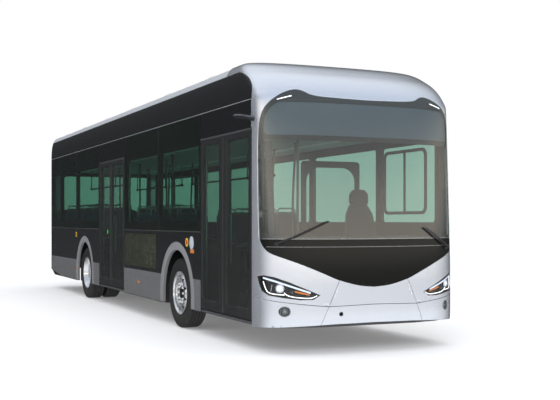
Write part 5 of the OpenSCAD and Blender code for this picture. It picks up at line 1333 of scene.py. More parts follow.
# ------------------------------------------------------------------ camera mirrors and wipers
up, dn = Mesh(), Mesh()
WING = mm([(1274, -22), (1330, -29), (1420, -34), (1490, -28), (1508, -8), (1514, 20), (1508, 50), (1480, 64), (1400, 61), (1320, 50), (1274, 42)])
ws = spline(WING[:6], 4); 
for k, W0 in ((1, 0.900), (-1, 0.480)):
    # sections across the wing, root to tip
    xs = [1.2755, 1.31, 1.36, 1.42, 1.46, 1.49, 1.506, 1.5135]
    for which, out in ((1, up), (0, dn)):
        v = []; n = 13
        for x in xs:
            a = np.interp(x, [1.274, 1.33, 1.42, 1.49, 1.508, 1.515], [-0.024, -0.030, -0.034, -0.028, -0.008, 0.012])
            b = np.interp(x, [1.274, 1.32, 1.40, 1.48, 1.508, 1.515], [0.046, 0.050, 0.062, 0.065, 0.050, 0.030])
            t = float(np.interp(x, [1.274, 1.42, 1.50, 1.515], [1.0, 0.92, 0.7, 0.25]))
            zc = 2.622 + 0.010 * float(np.interp(x, [1.275, 1.40, 1.515], [-1.2, 0.6, 1.0]))
            for i in range(n):
                w = i / (n - 1); s = a + (b - a) * w
                hgt = math.sin(math.pi * min(max(w, 0.0), 1.0)) ** 0.55
                zz = zc + (0.031 * t * hgt if which else -0.026 * t * hgt)
                v.append((k * x, Y(W0 + s), zz))
            for i in range(n):
                w = 1 - i / (n - 1); s = a + (b - a) * w
                v.append((k * x, Y(W0 + s), zc + (0.0005 if which else -0.0005)))
        p = 2 * n; f = []
        for i in range(len(xs) - 1):
            for j in range(p): f.append((i * p + j, (i + 1) * p + j, (i + 1) * p + (j + 1) % p, i * p + (j + 1) % p))
        f.append(tuple(range(p))); f.append(tuple((len(xs) - 1) * p + j for j in range(p - 1, -1, -1)))
        if (k > 0) != bool(which): f = [q[::-1] for q in f]
        out.add(v, f)
up.to("camera_wing_tops", "wing_dark", slot="trim_black", rep=("camera_mirrors",))
for k, W0 in ((1, 0.900), (-1, 0.480)):
    for x in (1.40, 1.455):
        v, f = lathe([(0, -0.004), (0.014, -0.004), (0.014, 0.002), (0.010, 0.004), (0, 0.005)], (k * x, Y(W0 + 0.058), 2.614), (0, 1, -0.3), 16); dn.add(v, f)
dn.to("camera_wing_undersides", "trim", slot="trim_black")

m = Mesh(); ru = Mesh()
for (p, q, bl) in (((-1.118, 1.217), (-0.572, 1.466), 0.62), ((1.061, 1.163), (0.691, 1.395), 0.62)):
    pts = []
    for t in np.linspace(0, 1, 12):
        x = p[0] + (q[0] - p[0]) * t; z = p[1] + (q[1] - p[1]) * t
        P, N = on_nose(x, z, 0.030 + 0.010 * math.sin(math.pi * t)); pts.append(P)
    v, f = tube(pts, list(np.interp(np.linspace(0, 1, 12), [0, 0.25, 1], [0.014, 0.010, 0.006])), 8); m.add(v, f)
    P, N = on_nose(p[0], p[1], 0.004)
    v, f = lathe([(0, -0.004), (0.030, -0.004), (0.030, 0.006), (0.024, 0.012), (0.017, 0.014), (0.017, 0.040), (0.013, 0.044), (0, 0.045)], P, N, 24); m.add(v, f)
    # blade along the arm's line, past its end
    dx, dz = q[0] - p[0], q[1] - p[1]; L = math.hypot(dx, dz)
    bp_, br = [], []
    for t in np.linspace(0.30, 1.04, 18):
        x = p[0] + dx * t; z = p[1] + dz * t - 0.012
        P, N = on_nose(x, z, 0.016); bp_.append(P)
        P, N = on_nose(x, z, 0.006); br.append(P)
    v, f = tube(bp_, 0.0065, 6); m.add(v, f)
    v, f = tube(br, 0.0035, 6); ru.add(v, f)
m.to("wiper_arms", "trim", slot="trim_black", rep=("wipers",))
ru.to("wiper_rubbers", "rubber", slot="trim_black")

# ------------------------------------------------------------------ wheels
def hide_cut(ob, cutter):
    """Cuts a hidden mesh out of a piece and keeps the result."""
    mod = ob.modifiers.new("cut", "BOOLEAN"); mod.operation = "DIFFERENCE"; mod.object = cutter; mod.solver = "EXACT"
    dg = bpy.context.evaluated_depsgraph_get()
    me = bpy.data.meshes.new_from_object(ob.evaluated_get(dg))
    ob.modifiers.clear()
    old = ob.data; ob.data = me; bpy.data.meshes.remove(old)
    bpy.data.objects.remove(cutter)
    me.set_sharp_from_angle(angle=math.radians(38))
TY = mm([(285, -90), (288, -107), (303, -113), (318, -119), (322, -122), (332, -126), (345, -131), (348, -133), (352, -133), (356, -134.5), (385, -137), (410, -137.2), (414, -136.2), (418, -136.6), (438, -134), (452, -129), (462, -123), (470, -113), (474, -106), (477, -96)])
def tread():
    p = []
    x = -96
    grooves = (-62, -21, 21, 62)
    pts = [(477.2, -94)]
    for g in grooves: pts += [(478.3, g - 6.5), (466.0, g - 5.0), (466.0, g + 5.0), (478.3, g + 6.5)]
    pts += [(477.2, 94)]
    return mm(pts)
TYRE = TY + tread() + [(r, -t) for r, t in reversed(TY)] + mm([(266.5, 44), (266.5, -44)])
def tyre_mesh(k, x, s):
    m_ = Mesh()
    v, f = revolve(TYRE, (x, Y(s), 0.4785), (k, 0, 0), 96)
    n = len(TYRE); sh = []
    m_.add(v, f)
    return m_
def lateral(m_, k, x, s, n=56):
    """Ribs in the outer shoulders of the tread."""
    for sg in (1, -1):
        for i in range(n):
            a = 2 * math.pi * (i + (0.5 if sg > 0 else 0)) / n
            da = 0.012
            v = []
            for (r, t) in ((0.4698, 0.1140), (0.4782, 0.0955), (0.4785, 0.0720), (0.4690, 0.0720), (0.4650, 0.1120)):
                for b in (a - da * 1.9, a + da * 1.9):
                    v.append((x + k * sg * t, Y(s) + r * math.cos(b), 0.4785 + r * math.sin(b)))
            f = [(0, 2, 3, 1), (2, 4, 5, 3), (4, 6, 7, 5), (6, 8, 9, 7), (8, 0, 1, 9), (0, 8, 6, 4, 2), (1, 3, 5, 7, 9)]
            if k * sg > 0: f = [q[::-1] for q in f]
            m_.add(v, f)
RIM = mm([(284, -126), (300, -126), (303, -121.5), (301, -117.5), (285, -112), (282, -90), (262, -40), (262, 40), (282, 90), (285, 112), (301, 117.5), (303, 121.5), (300, 126), (292, 127), (286, 122), (277, 102), (254, 46), (252, -46), (274, -96), (280, -118)])
def nut(out, c, ax, r=0.0165, h=0.030):
    """Wheel nut with its pressed cap."""
    v, f = lathe([(0, 0), (r * 1.35, 0), (r * 1.35, 0.004), (r * 1.05, 0.006), (r, 0.012), (r, h * 0.55), (r * 0.80, h * 0.86), (r * 0.45, h), (0, h * 1.02)], c, ax, 12); out.add(v, f)
def front_wheel(side, k):
    body = "front_%s_wheel" % side
    cx, s = k * 1.0975, 3.236
    t_ = tyre_mesh(k, cx, s); lateral(t_, k, cx, s)
    t_.to("front_%s_tyre_skin" % side, "tyre", body=body, slot="tyre_rubber", rep=("front_%s_tyre" % side,), bevel=0)
    m_ = Mesh()
    v, f = revolve(RIM, (cx, Y(s), 0.4785), (k, 0, 0), 72); m_.add(v, f)
    m_.to("front_%s_rim_barrel" % side, "chrome", body=body, slot="rim_chrome", rep=("front_%s_rim" % side,))
    disc_ = Mesh()
    prof = mm([(92, 84), (100, 88), (150, 90), (166, 96), (176, 108), (186, 117), (200, 121), (214, 119), (228, 110), (240, 96), (250, 76), (256, 52), (258, 30), (265, 30), (265, 54), (259, 82), (249, 104), (236, 119), (218, 128.5), (200, 130.5), (184, 127), (173, 118), (163, 106), (148, 99), (100, 97), (92, 94)])
    v, f = revolve(prof, (cx, Y(s), 0.4785), (k, 0, 0), 80); disc_.add(v, f)
    ob = disc_.to("front_%s_rim_disc" % side, "chrome", body=body, slot="rim_chrome")
    c_ = Mesh()
    for i in range(10):
        a = math.radians(36 * i + 18)
        v, f = tube([(cx + k * 0.02, Y(s) + 0.2185 * math.cos(a), 0.4785 + 0.2185 * math.sin(a)), (cx + k * 0.2, Y(s) + 0.2185 * math.cos(a), 0.4785 + 0.2185 * math.sin(a))], 0.0255, 24); c_.add(v, f)
    co = c_.to("tmp_cut", "chrome", body=body)
    hide_cut(ob, co)
    nn = Mesh()
    for i in range(10):
        a = math.radians(36 * i)
        c = (cx + k * 0.0975, Y(s) + 0.128 * math.cos(a), 0.4785 + 0.128 * math.sin(a)); nut(nn, c, (k, 0, 0), 0.0165, 0.036)
    nn.to("front_%s_wheel_nuts" % side, "bolt", body=body, slot="rim_chrome")
    hb = Mesh()
    v, f = lathe(mm([(0, 40), (90, 40), (90, 88), (92, 93), (84, 94), (80, 84), (66, 80), (62, 98), (40, 104), (36, 108), (0, 108)]), (cx, Y(s), 0.4785), (k, 0, 0), 40); hb.add(v, f)
    for i in range(8):
        a = math.radians(45 * i + 10)
        v, f = lathe([(0, 0), (0.007, 0), (0.007, 0.006), (0, 0.007)], (cx + k * 0.1, Y(s) + 0.053 * math.cos(a), 0.4785 + 0.053 * math.sin(a)), (k, 0, 0), 6); hb.add(v, f)
    v, f = revolve([(0.150, 0.058), (0.238, 0.058), (0.238, 0.064), (0.150, 0.064)], (cx, Y(s), 0.4785), (k, 0, 0), 48); hb.add(v, f)
    hb.to("front_%s_hub" % side, "hub", body=body, slot="axle_black")
def rear_wheels(side, k):
    body = "rear_%s_wheels" % side
    s = 8.840; mid = k * 0.942
    t_ = Mesh()
    for cx in (k * 1.0975, k * 0.7865):
        v, f = revolve(TYRE, (cx, Y(s), 0.4785), (k, 0, 0), 96); t_.add(v, f); lateral(t_, k, cx, s)
    t_.to("rear_%s_tyre_skins" % side, "tyre", body=body, slot="tyre_rubber", rep=("rear_%s_tyres" % side,))
    m_ = Mesh()
    for cx in (k * 1.0975, k * 0.7865):
        v, f = revolve(RIM, (cx, Y(s), 0.4785), (k, 0, 0), 72); m_.add(v, f)
    m_.to("rear_%s_rim_barrels" % side, "chrome", body=body, slot="rim_chrome", rep=("rear_%s_rims" % side,))
    disc_ = Mesh()
    prof = mm([(92, 2), (176, 2), (190, 4), (206, 10), (222, 24), (236, 46), (247, 74), (253, 100), (256, 118), (263, 118), (262, 96), (256, 68), (245, 38), (229, 13), (210, -1.5), (190, -6), (92, -6)])
    # the dish opens outwards: its centre lies on the pair's middle plane
    v, f = revolve([(r, t) for r, t in prof], (mid, Y(s), 0.4785), (k, 0, 0), 80); disc_.add(v, f)
    ob = disc_.to("rear_%s_rim_disc" % side, "chrome", body=body, slot="rim_chrome")
    c_ = Mesh()
    for i in range(10):
        a = math.radians(36 * i + 18)
        v, f = tube([(mid - k * 0.05, Y(s) + 0.208 * math.cos(a), 0.4785 + 0.208 * math.sin(a)), (mid + k * 0.12, Y(s) + 0.208 * math.cos(a), 0.4785 + 0.208 * math.sin(a))], 0.024, 24); c_.add(v, f)
    hide_cut(ob, c_.to("tmp_cut2", "chrome", body=body))
    inner = Mesh()
    v, f = revolve([(r, -t) for r, t in mm([(96, -10.5), (190, -10.5), (222, 18), (247, 70), (256, 118), (263, 118), (254, 66), (229, 5), (195, -18), (96, -18)])][::-1], (mid, Y(s), 0.4785), (k, 0, 0), 64)
    inner.add(v, f); inner.to("rear_%s_inner_disc" % side, "hub", body=body, slot="rim_chrome")
    nn = Mesh()
    for i in range(10):
        a = math.radians(36 * i)
        c = (mid + k * 0.002, Y(s) + 0.1675 * math.cos(a), 0.4785 + 0.1675 * math.sin(a)); nut(nn, c, (k, 0, 0), 0.0175, 0.040)
    nn.to("rear_%s_wheel_nuts" % side, "bolt", body=body, slot="rim_chrome")
    hb = Mesh()
    v, f = lathe(mm([(0, -24), (150, -24), (150, -8), (146, -2), (144, 4), (138, 10), (120, 14), (112, 34), (104, 62), (98, 82), (86, 92), (60, 94), (56, 98), (0, 99)]), (mid, Y(s), 0.4785), (k, 0, 0), 48); hb.add(v, f)
    for i in range(10):
        a = math.radians(36 * i)
        v, f = lathe([(0, 0), (0.008, 0), (0.008, 0.007), (0, 0.008)], (mid + k * 0.0925, Y(s) + 0.074 * math.cos(a), 0.4785 + 0.074 * math.sin(a)), (k, 0, 0), 6); hb.add(v, f)
    hb.to("rear_%s_hub" % side, "chrome", body=body, slot="axle_black")
for side, k in (("left", 1), ("right", -1)):
    front_wheel(side, k); rear_wheels(side, k)

# ------------------------------------------------------------------ inside
def loft_pad(path, widths, thicks, xc, n=16, pw=3.2, out=None, end=0.35, mi=0):
    """A crowned pad along a side-view path: sections are rounded boxes, the ends close in a curve."""
    out = out or Mesh()
    P = np.array(path, float)
    T = np.gradient(P, axis=0); T /= np.linalg.norm(T, axis=1)[:, None]
    N = np.stack([-T[:, 1], T[:, 0]], 1)
    secs = []
    m_ = len(P)
    for i in range(m_):
        w, t = widths[i] / 2, thicks[i] / 2
        ring = []
        for j in range(n):
            a = 2 * math.pi * j / n
            ca, sa = math.cos(a), math.sin(a)
            x = w * math.copysign(abs(ca) ** (2 / pw), ca); y = t * math.copysign(abs(sa) ** (2 / 2.4), sa)
            ring.append((xc + x, P[i][0] + N[i][0] * y, P[i][1] + N[i][1] * y))
        secs.append(ring)
    v = [q for r in secs for q in r]
    f = []
    for i in range(m_ - 1):
        for j in range(n): f.append((i * n + j, (i + 1) * n + j, (i + 1) * n + (j + 1) % n, i * n + (j + 1) % n))
    f.append(tuple(range(n))); f.append(tuple((m_ - 1) * n + j for j in range(n - 1, -1, -1)))
    v = [(x, Y(s), z) for x, s, z in v]
    out.add(v, f, mi); return out
def taper(n, a=0.5, k=3):
    """Widths that pull in over the last few sections at both ends."""
    o = np.ones(n)
    for i in range(k):
        g = a + (1 - a) * math.sin(math.pi / 2 * i / k); o[i] = g; o[-1 - i] = g
    return o
pads, shells, tubes, podium = Mesh(), Mesh(), Mesh(), Mesh()
def seat(xc, s, z, w=0.42, legs=True):
    n = 13
    t = np.linspace(0, 1, n)
    path = [(s + 0.012 + 0.375 * a, z + 0.442 + 0.010 * math.sin(math.pi * a) - 0.006 * a) for a in t]
    loft_pad(path, w * 0.94 * taper(n, 0.90, 3), 0.064 * taper(n, 0.35, 3), xc, out=pads)
    n = 15; t = np.linspace(0, 1, n)
    path = [(s + 0.392 + 0.075 * a + 0.012 * math.sin(2.2 * math.pi * a), z + 0.490 + 0.480 * a) for a in t]
    wd = w * 0.92 * np.interp(t, [0, 0.1, 0.6, 0.92, 1.0], [0.86, 0.96, 1.0, 0.86, 0.62])
    loft_pad(path, wd, 0.052 * taper(n, 0.35, 3), xc, out=pads)
    n = 15; t = np.linspace(0, 1, n)
    path = [(s + 0.424 + 0.078 * a + 0.010 * math.sin(2.2 * math.pi * a), z + 0.400 + 0.592 * a) for a in t]
    wd = w * 0.99 * np.interp(t, [0, 0.08, 0.6, 0.92, 1.0], [0.80, 0.98, 1.0, 0.90, 0.66])
    loft_pad(path, wd, 0.020 * np.ones(n), xc, out=shells)
    n = 9; t = np.linspace(0, 1, n)
    path = [(s + 0.004 + 0.43 * a, z + 0.402 - 0.004 * math.sin(math.pi * a)) for a in t]
    loft_pad(path, w * 0.98 * taper(n, 0.94, 2), 0.018 * np.ones(n), xc, out=shells)
    # tube handle over the back
    p = smooth_path([(xc - 0.155, Y(s + 0.500), z + 0.93), (xc - 0.150, Y(s + 0.512), z + 1.050), (xc + 0.150, Y(s + 0.512), z + 1.050), (xc + 0.155, Y(s + 0.500), z + 0.93)], 0.07, 8)
    v, f = tube(p, 0.0125, 10); tubes.add(v, f)
def seat_legs(x0, x1, s, z):
    for x in (x0 + 0.16, x1 - 0.16):
        for ds in (0.10, 0.34):
            v, f = tube([(x, Y(s + 0.20 + (ds - 0.2) * 0.6), z + 0.001), (x, Y(s + ds), z + 0.396)], 0.016, 10); tubes.add(v, f)
    for ds in (0.10, 0.34):
        v, f = tube([(x0 + 0.03, Y(s + ds), z + 0.385), (x1 - 0.03, Y(s + ds), z + 0.385)], 0.014, 10); tubes.add(v, f)
LOW, HIGH, POD = 0.322, 0.740, 0.622
rows = [(-1, 4.420, POD), (-1, 5.150, POD), (1, 3.960, POD), (1, 4.700, POD), (1, 5.480, POD)] + [(k, s, HIGH) for s in (8.200, 8.960, 9.720, 10.480) for k in (-1, 1)]
for k, s, z in rows:
    for xc in (0.545, 0.975): seat(k * xc, s, z)
    x0, x1 = sorted((k * 0.335, k * 1.185))
    if z < 0.7:
        a0, a1 = sorted((k * 0.382, k * 1.188))
        loop_ = rrect(a0, s + 0.062, a1, s + 0.438, 0.03, 4)
        flat(PlanFlat(POD, 1), loop_, POD - LOW - 0.001, edge=0.004, out=podium)
        for q in range(4):
            flat(EndFlat(s + 0.0605, -1), rrect(a0 + 0.03 + 0.19 * q, LOW + 0.03, a0 + 0.19 + 0.19 * q, POD - 0.03, 0.01, 3), 0.004, edge=0.001, out=podium)
    if z < 0.7 or s > 9.4: seat_legs(x0, x1, s, z)
    else:
        # rows over the wheels stand on a low plinth
        v, f = box_part(x0 + 0.05, x1 - 0.05, s + 0.06, s + 0.38, z + 0.383, z + 0.392); shells.add(v, f)
        for x in (k * 0.455,):
            v, f = box_part(x - 0.03, x + 0.03, s + 0.10, s + 0.34, z + 0.001, z + 0.384); shells.add(v, f)
for i in range(-2, 3):
    xc = i * 0.470
    n = 13; t = np.linspace(0, 1, n)
    path = [(11.572 + 0.40 * a, HIGH + 0.448 + 0.012 * math.sin(math.pi * a)) for a in t]
    loft_pad(path, 0.435 * taper(n, 0.92, 3), 0.070 * taper(n, 0.35, 3), xc, out=pads)
    n = 15; t = np.linspace(0, 1, n)
    path = [(12.004 + 0.045 * a, HIGH + 0.490 + 0.500 * a) for a in t]
    loft_pad(path, 0.435 * np.interp(t, [0, 0.1, 0.6, 0.92, 1.0], [0.9, 0.98, 1.0, 0.88, 0.66]), 0.055 * taper(n, 0.35, 3), xc, out=pads)
v, f = box_part(-1.160, 1.160, 11.575, 12.000, HIGH + 0.001, HIGH + 0.405); shells.add(v, f)
v, f = box_part(-1.160, 1.160, 12.050, 12.095, HIGH + 0.001, HIGH + 0.92); shells.add(v, f)
ob = pads.to("passenger_seat_pads", "seat", slot="seat_fabric", rep=("passenger_seats",))
shells.to("passenger_seat_shells", "seat_shell", slot="seat_fabric")
podium.to("seat_podiums", "floor", slot="floor_grey")
tubes.to("passenger_seat_tubes", "steel", slot="post_steel")

# driver's seat
CABX = 0.800
dp, ds_ = Mesh(), Mesh()
n = 15; t = np.linspace(0, 1, n)
loft_pad([(1.270 + 0.44 * a, 0.845 + 0.02 * math.sin(math.pi * a) - 0.01 * a) for a in t], 0.47 * taper(n, 0.88, 3), 0.110 * taper(n, 0.4, 4), CABX, out=dp, n=20)
loft_pad([(1.715 + 0.105 * a - 0.02 * math.sin(math.pi * a), 0.890 + 0.790 * a) for a in t], 0.47 * np.interp(t, [0, 0.1, 0.5, 0.85, 1.0], [0.85, 0.97, 1.0, 0.86, 0.60]), 0.115 * taper(n, 0.4, 4), CABX, out=dp, n=20)
n = 11; t = np.linspace(0, 1, n)
loft_pad([(1.802 + 0.008 * a, 1.672 + 0.215 * a) for a in t], 0.285 * np.interp(t, [0, 0.2, 0.7, 1.0], [0.80, 1.0, 0.98, 0.62]), 0.095 * taper(n, 0.4, 3), CABX, out=dp, n=18)
for sg in (1, -1):
    loft_pad([(1.30 + 0.38 * a, 0.885 + 0.01 * math.sin(math.pi * a)) for a in np.linspace(0, 1, 9)], 0.075 * taper(9, 0.7, 2), 0.075 * taper(9, 0.4, 3), CABX + sg * 0.205, out=dp, n=12)
    for dz in (0,):
        v, f = tube([(CABX + sg * 0.055, Y(1.802), 1.655), (CABX + sg * 0.055, Y(1.808), 1.72)], 0.008, 8); ds_.add(v, f)
v, f = box_part(CABX - 0.155, CABX + 0.155, 1.34, 1.72, 0.742, 0.792); ds_.add(v, f)
v, f = box_part(CABX - 0.165, CABX + 0.165, 1.33, 1.74, 0.502, 0.530); ds_.add(v, f)
for i in range(6):
    z = 0.532 + 0.035 * i; g = 0.012 * (i % 2)
    v, f = box_part(CABX - 0.140 + g, CABX + 0.140 - g, 1.355 + g, 1.705 - g, z, z + 0.033); ds_.add(v, f)
ob = dp.to("driver_seat_pads", "drseat", slot="seat_fabric", rep=("driver_seat",))
ds_.to("driver_seat_base", "trim", slot="trim_black", bevel=0.004)

# steering wheel: rim, hub and spokes about its tilted axis
R_, sc = 0.215, np.array((CABX, Y(0.860), 1.180)); th = math.radians(-28)
def tilt(p):
    x, y, z = p
    return sc + np.array((x, y * math.cos(th) - z * math.sin(th), y * math.sin(th) + z * math.cos(th)))
m = Mesh()
v, f = tube([tilt((R_ * math.cos(a), R_ * math.sin(a), 0)) for a in np.linspace(0, 2 * math.pi, 49)[:-1]], 0.0155, 14, closed=True); m.add(v, f)
for a in (90, 210, 330):
    a = math.radians(a)
    v, f = tube([tilt((0.05 * math.cos(a), 0.05 * math.sin(a), -0.015)), tilt((0.12 * math.cos(a), 0.12 * math.sin(a), -0.010)), tilt((0.208 * math.cos(a), 0.208 * math.sin(a), 0))], [0.020, 0.015, 0.012], 10); m.add(v, f)
v, f = lathe([(0, -0.02), (0.058, -0.018), (0.064, -0.004), (0.060, 0.010), (0.045, 0.016), (0, 0.018)], sc, tilt((0, 0, 1)) - sc, 32); m.add(v, f)
v, f = tube([tilt((0, 0, -0.018)), tilt((0, 0, -0.10)), tilt((0, 0, -0.15)), tilt((0, 0, -0.236))], [0.030, 0.032, 0.037, 0.037], 16); m.add(v, f)
v, f = tube([tilt((0, 0, -0.150)), tilt((0, 0, -0.238)), (CABX, Y(0.690), 0.935)], [0.0375, 0.052, 0.075], 16); m.add(v, f)
m.to("steering_wheel_skin", "trim", slot="trim_black", rep=("steering_wheel",))

# dashboard with a crowned top, instrument hood and screens
m = Mesh()
DASH = mm([(-1115, 376), (-1115, 352), (-958, 228), (-598, 144), (-298, 122), (0, 116), (298, 122), (598, 144), (958, 228), (1115, 352), (1115, 590), (955, 690), (340, 690), (232, 550), (0, 508), (-250, 390), (-420, 376)])
dl = [tuple(p) for p in round_loop(DASH, 0.05, 4)]
n = len(dl)
lev = [(0.562, 0.060), (0.60, 0.020), (0.80, 0.006), (1.02, 0.0), (1.10, 0.004), (1.135, 0.016), (1.148, 0.040)]
if area(dl) < 0: dl = dl[::-1]
v = []
for z, i in lev:
    for p in inset(dl, i): v.append((p[0], Y(p[1]), z))
f = []
for a in range(len(lev) - 1):
    for j in range(n): f.append((a * n + j, a * n + (j + 1) % n, (a + 1) * n + (j + 1) % n, (a + 1) * n + j))
f.append(tuple(range(n - 1, -1, -1))); f.append(tuple((len(lev) - 1) * n + j for j in range(n)))
m.add(v, f)
hood = mm([(362, 312), (930, 312), (978, 364), (978, 556), (905, 632), (398, 632), (345, 560)])
hl = round_loop(hood, 0.05, 4)
if area(hl) < 0: hl = hl[::-1]
n = len(hl); lev = [(1.140, 0.0), (1.18, 0.004), (1.205, 0.016), (1.214, 0.045)]
v = []
for z, i in lev:
    for p in inset(hl, i): v.append((p[0], Y(p[1]), z))
f = []
for a in range(len(lev) - 1):
    for j in range(n): f.append((a * n + j, a * n + (j + 1) % n, (a + 1) * n + (j + 1) % n, (a + 1) * n + j))
f.append(tuple(range(n - 1, -1, -1))); f.append(tuple((len(lev) - 1) * n + j for j in range(n)))
m.add(v, f)
m.to("dashboard_skin", "dash", slot="dash_grey", rep=("dashboard",))
m = Mesh()
def tablet(xc, s, z, w, h, out, lean=0.5):
    dy, dz = math.sin(lean), math.cos(lean)
    c = np.array((xc, Y(s), z)); ux = np.array((1, 0, 0)); uz = np.array((0, dy * -0.0 + math.sin(lean) * -1, math.cos(lean))); nn_ = np.array((0, math.cos(lean), math.sin(lean)))
    sur = Flat(c, ux, uz, nn_)
    flat(sur, rrect(-w / 2, -h / 2, w / 2, h / 2, 0.012, 4), 0.022, edge=0.003, out=out)
tablet(0.760, 0.640, 1.150, 0.34, 0.13, m, 0.45)
tablet(0.420, 0.655, 1.210, 0.20, 0.13, m, 0.35)
tablet(1.020, 0.560, 1.190, 0.16, 0.11, m, 0.35)
m.to("dashboard_screens", "dark_screen", slot="trim_black")

# partition behind the driver, with a clear window in rounded corners, and the cab's side door
m = Mesh()
wl_ = rrect(0.362, 1.262, 1.138, 2.218, 0.20, 8)
flat(EndFlat(2.530, 1), rrect(0.296, 0.503, 1.200, 2.300, 0.05, 5), 0.028, holes=[wl_], edge=0.004, out=m)
flat(SideFlat(1, 0.284), rrect(1.000, 0.332, 2.494, 1.258, 0.06, 5), 0.026, edge=0.005, out=m)
m.to("driver_partition_skin", "trim", slot="trim_black", rep=("driver_partition",))
m = Mesh()
pane(EndFlat(2.518, 1), inset(wl_, 0.001), t=0.005, out=m)
m.to("driver_partition_pane", ["lens", "pane_inner"], slot="glass_tint")

# sliding frame of the driver's side window
m = Mesh()
ring = rrect(0.870, 1.560, 1.905, 2.400, 0.10, 8)
flat(SideFlat(1, 1.2635), ring, 0.022, holes=[inset(ring, 0.034)], edge=0.003, out=m)
v, f = box_part(1.244, 1.262, 1.372, 1.402, 1.59, 2.37); m.add(v, f)
m.to("driver_window_frame", "rubber", slot="frame_black")

# rails and poles: poles bow slightly, clamps where they meet the rails
m = Mesh(); cl = Mesh()
RZ, RXX, PR = 2.170, 0.520, 0.0165
def pole(x, s, z0, bow=0.035):
    pts = []
    for t in np.linspace(0, 1, 15):
        b = bow * math.sin(math.pi * t)
        pts.append((x - math.copysign(b, x) * 0.4, Y(s + b), z0 + (2.558 - z0) * t))
    v, f = tube(pts, PR, 12); m.add(v, f)
    for z in (z0, 2.545):
        v, f = lathe([(0, 0), (0.034, 0), (0.034, 0.006), (0.020, 0.013), (0, 0.013)], (x, Y(s), z + (0.0006 if z < 1 else 0.0)), (0, 0, 1), 20); cl.add(v, f)
def rail(x, s0, s1, hang):
    v, f = tube([(x, Y(s0), RZ), (x, Y(s1), RZ)], PR, 12); m.add(v, f)
    for s in hang:
        v, f = tube([(x, Y(s), RZ), (x, Y(s), 2.560)], 0.010, 10); m.add(v, f)
        v, f = revolve([(0.0168, -0.02), (0.024, -0.02), (0.024, 0.02), (0.0168, 0.02)], (x, Y(s), RZ), (0, 1, 0), 18); cl.add(v, f)
    for s in (s0, s1):
        v, f = lathe([(0, -0.008), (0.019, -0.006), (0.019, 0.006), (0, 0.008)], (x, Y(s), RZ), (0, 1, 0), 18); cl.add(v, f)
rail(RXX, 3.93, 7.70, (3.96, 5.0, 6.9, 7.67)); rail(-RXX, 4.10, 5.75, (4.13, 5.70)); rail(RXX, 8.30, 11.50, (8.33, 9.4, 10.5, 11.46)); rail(-RXX, 8.30, 11.50, (8.33, 9.4, 10.5, 11.46))
for s in (3.93, 6.15, 7.70): pole(RXX, s, LOW, 0.05)
for s in (4.15, 5.72): pole(-RXX, s, LOW, 0.05)
for s in (8.42, 9.90, 11.45):
    for k in (-1, 1): pole(k * 0.300, s, HIGH)
pole(-0.2, 2.7, LOW, 0.06); pole(0.3, 2.7, LOW, 0.06)
for s in (1.44, 6.84): pole(-0.27, s, LOW, 0.06)
m.to("grab_rail_tubes", "pole", slot="rail_yellow", rep=("grab_rails",))
cl.to("grab_rail_clamps", "trim", slot="trim_black")

# strip lights along the ceiling
m = Mesh()
for k in (1, -1):
    for s0 in np.arange(1.2, 11.6, 1.32):
        flat(PlanFlat(2.5585, -1), [(k * 0.62, s0), (k * 0.62, s0 + 1.2), (k * 0.78, s0 + 1.2), (k * 0.78, s0)], 0.012, edge=0.004, out=m)
m.to("ceiling_lights", "lamp_panel", slot="lining_light")

# ------------------------------------------------------------------ materials of the CAD nodes that stay
KEEP = {"side_frames": "frame", "front_floor": "floor", "aisle_floor": "floor", "middle_floor": "floor", "floor_step": "floor", "raised_floor": "floor", "cab_platform": "floor",
        "chassis_members": "axle", "wheelhouses": "housing", "ceiling": "lining", "drive_unit": "axle", "front_axle": "axle", "rear_axle": "axle",
        "front_left_knuckle": "axle", "front_right_knuckle": "axle",
        "front_door_front_post": "steel", "front_door_rear_post": "steel", "rear_door_front_post": "steel", "rear_door_rear_post": "steel"}
for n_, key in KEEP.items():
    ob = NODES[n_]
    if not ob.material_slots: ob.data.materials.append(M[key])
    for sl_ in ob.material_slots: sl_.material = M[key]

# ------------------------------------------------------------------ stage and light
def studio_floor():
    me = bpy.data.meshes.new("studio_floor")
    R = 90
    me.from_pydata([(-R, -R, 0), (R, -R, 0), (R, R, 0), (-R, R, 0)], [], [(0, 1, 2, 3)])
    ob = bpy.data.objects.new("studio_floor", me); scn.collection.objects.link(ob)
    mm_, nt, out = new_mat("studio_floor_pale")
    b = add(nt, "ShaderNodeBsdfPrincipled"); nt.links.new(b.outputs[0], out.inputs[0])
    tc = add(nt, "ShaderNodeTexCoord")
    nt.links.new(mix_rgb(nt, noise(nt, tc.outputs["Object"], 0.5, 3), (0.86, 0.86, 0.87), (0.88, 0.88, 0.89)), b.inputs["Base Color"])
    b.inputs["Roughness"].default_value = 0.9
    b.inputs["Specular IOR Level"].default_value = 0.1
    b.inputs["Emission Color"].default_value = (1, 1, 1, 1)
    vl = add(nt, "ShaderNodeVectorMath", operation="LENGTH"); nt.links.new(tc.outputs["Object"], vl.inputs[0])
    nt.links.new(map_range(nt, vl.outputs["Value"], 11.0, 30.0, 0.15, 0.42), b.inputs["Emission Strength"])
    me.materials.append(mm_)
    ob.visible_glossy = False
studio_floor()
w = bpy.data.worlds.new("studio"); scn.world = w; w.use_nodes = True
nt = w.node_tree; nt.nodes.clear()
wo = nt.nodes.new("ShaderNodeOutputWorld"); bg = nt.nodes.new("ShaderNodeBackground"); nt.links.new(bg.outputs[0], wo.inputs[0])
tc = nt.nodes.new("ShaderNodeTexCoord"); sep = nt.nodes.new("ShaderNodeSeparateXYZ"); nt.links.new(tc.outputs["Generated"], sep.inputs[0])
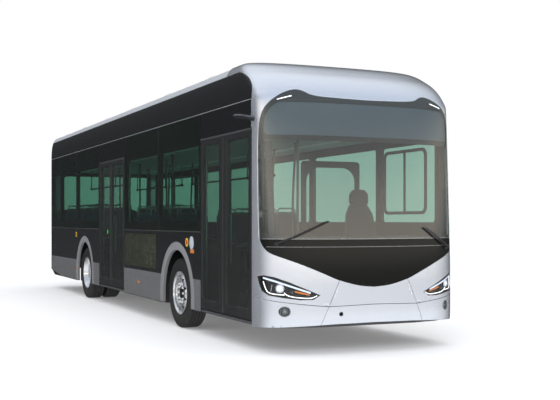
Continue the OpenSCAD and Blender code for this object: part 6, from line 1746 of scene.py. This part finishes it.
# soft dome overhead, a brighter strip of sky in front, and dark flags low on the sides and behind
frt = map_range(nt, sep.outputs[1], 0.38, -0.45, 0.0, 1.0)
def ladder(stops):
    """Colour against the height of the direction, from straight down to straight up."""
    r = nt.nodes.new("ShaderNodeValToRGB")
    nt.links.new(map_range(nt, sep.outputs[2], -1.0, 1.0, 0.0, 1.0), r.inputs[0])
    el = r.color_ramp.elements
    while len(el) > 2: el.remove(el[-1])
    el[0].position = 0.0; el[0].color = (*stops[0][1], 1); el[1].position = 1.0; el[1].color = (*stops[-1][1], 1)
    for z, c in stops[1:-1]:
        e = el.new((z + 1) / 2); e.color = (*c, 1)
    return r.outputs[0]
front_col = ladder([(-1, (0.80, 0.81, 0.83)), (-0.15, (1.00, 1.01, 1.03)), (-0.085, (0.46, 0.46, 0.47)), (0.02, (0.38, 0.38, 0.38)), (0.075, (1.60, 1.55, 1.45)), (0.11, (2.20, 2.02, 1.75)), (0.18, (1.90, 1.74, 1.52)), (0.25, (0.80, 0.80, 0.80)), (0.33, (0.36, 0.40, 0.46)), (0.47, (0.50, 0.58, 0.70)), (0.65, (0.44, 0.52, 0.65)), (1, (0.42, 0.50, 0.62))])
side_col = ladder([(-1, (0.10, 0.10, 0.105)), (-0.10, (0.060, 0.062, 0.064)), (0.05, (0.035, 0.037, 0.039)), (0.35, (0.070, 0.075, 0.080)), (0.52, (0.16, 0.17, 0.18)), (0.80, (0.70, 0.74, 0.80)), (1, (0.80, 0.84, 0.91))])
col = mix_rgb(nt, frt, side_col, front_col)
lp = nt.nodes.new("ShaderNodeLightPath")
dif = mix_rgb(nt, lp.outputs["Is Diffuse Ray"], col, (0.80, 0.81, 0.83))
fin = mix_rgb(nt, lp.outputs["Is Camera Ray"], dif, (1.0, 1.0, 1.0))
nt.links.new(fin, bg.inputs[0]); bg.inputs[1].default_value = 1.0

def area_light(name, loc, target, size, size_y, power, color=(1, 1, 1), glossy=True):
    d = bpy.data.lights.new(name, "AREA"); d.shape = "RECTANGLE"; d.size = size; d.size_y = size_y; d.energy = power; d.color = color
    o = bpy.data.objects.new(name, d); scn.collection.objects.link(o)
    o.location = loc
    o.rotation_euler = (Vector(target) - Vector(loc)).to_track_quat("-Z", "Y").to_euler()
    o.visible_glossy = glossy
    return o
area_light("overhead", (0.5, 0, 12), (0, 0, 0), 14, 24, 1250, glossy=False)
area_light("front_soft", (-6, -18, 8), (0, -5, 1.5), 9, 6, 700, (0.97, 0.985, 1.0), glossy=False)
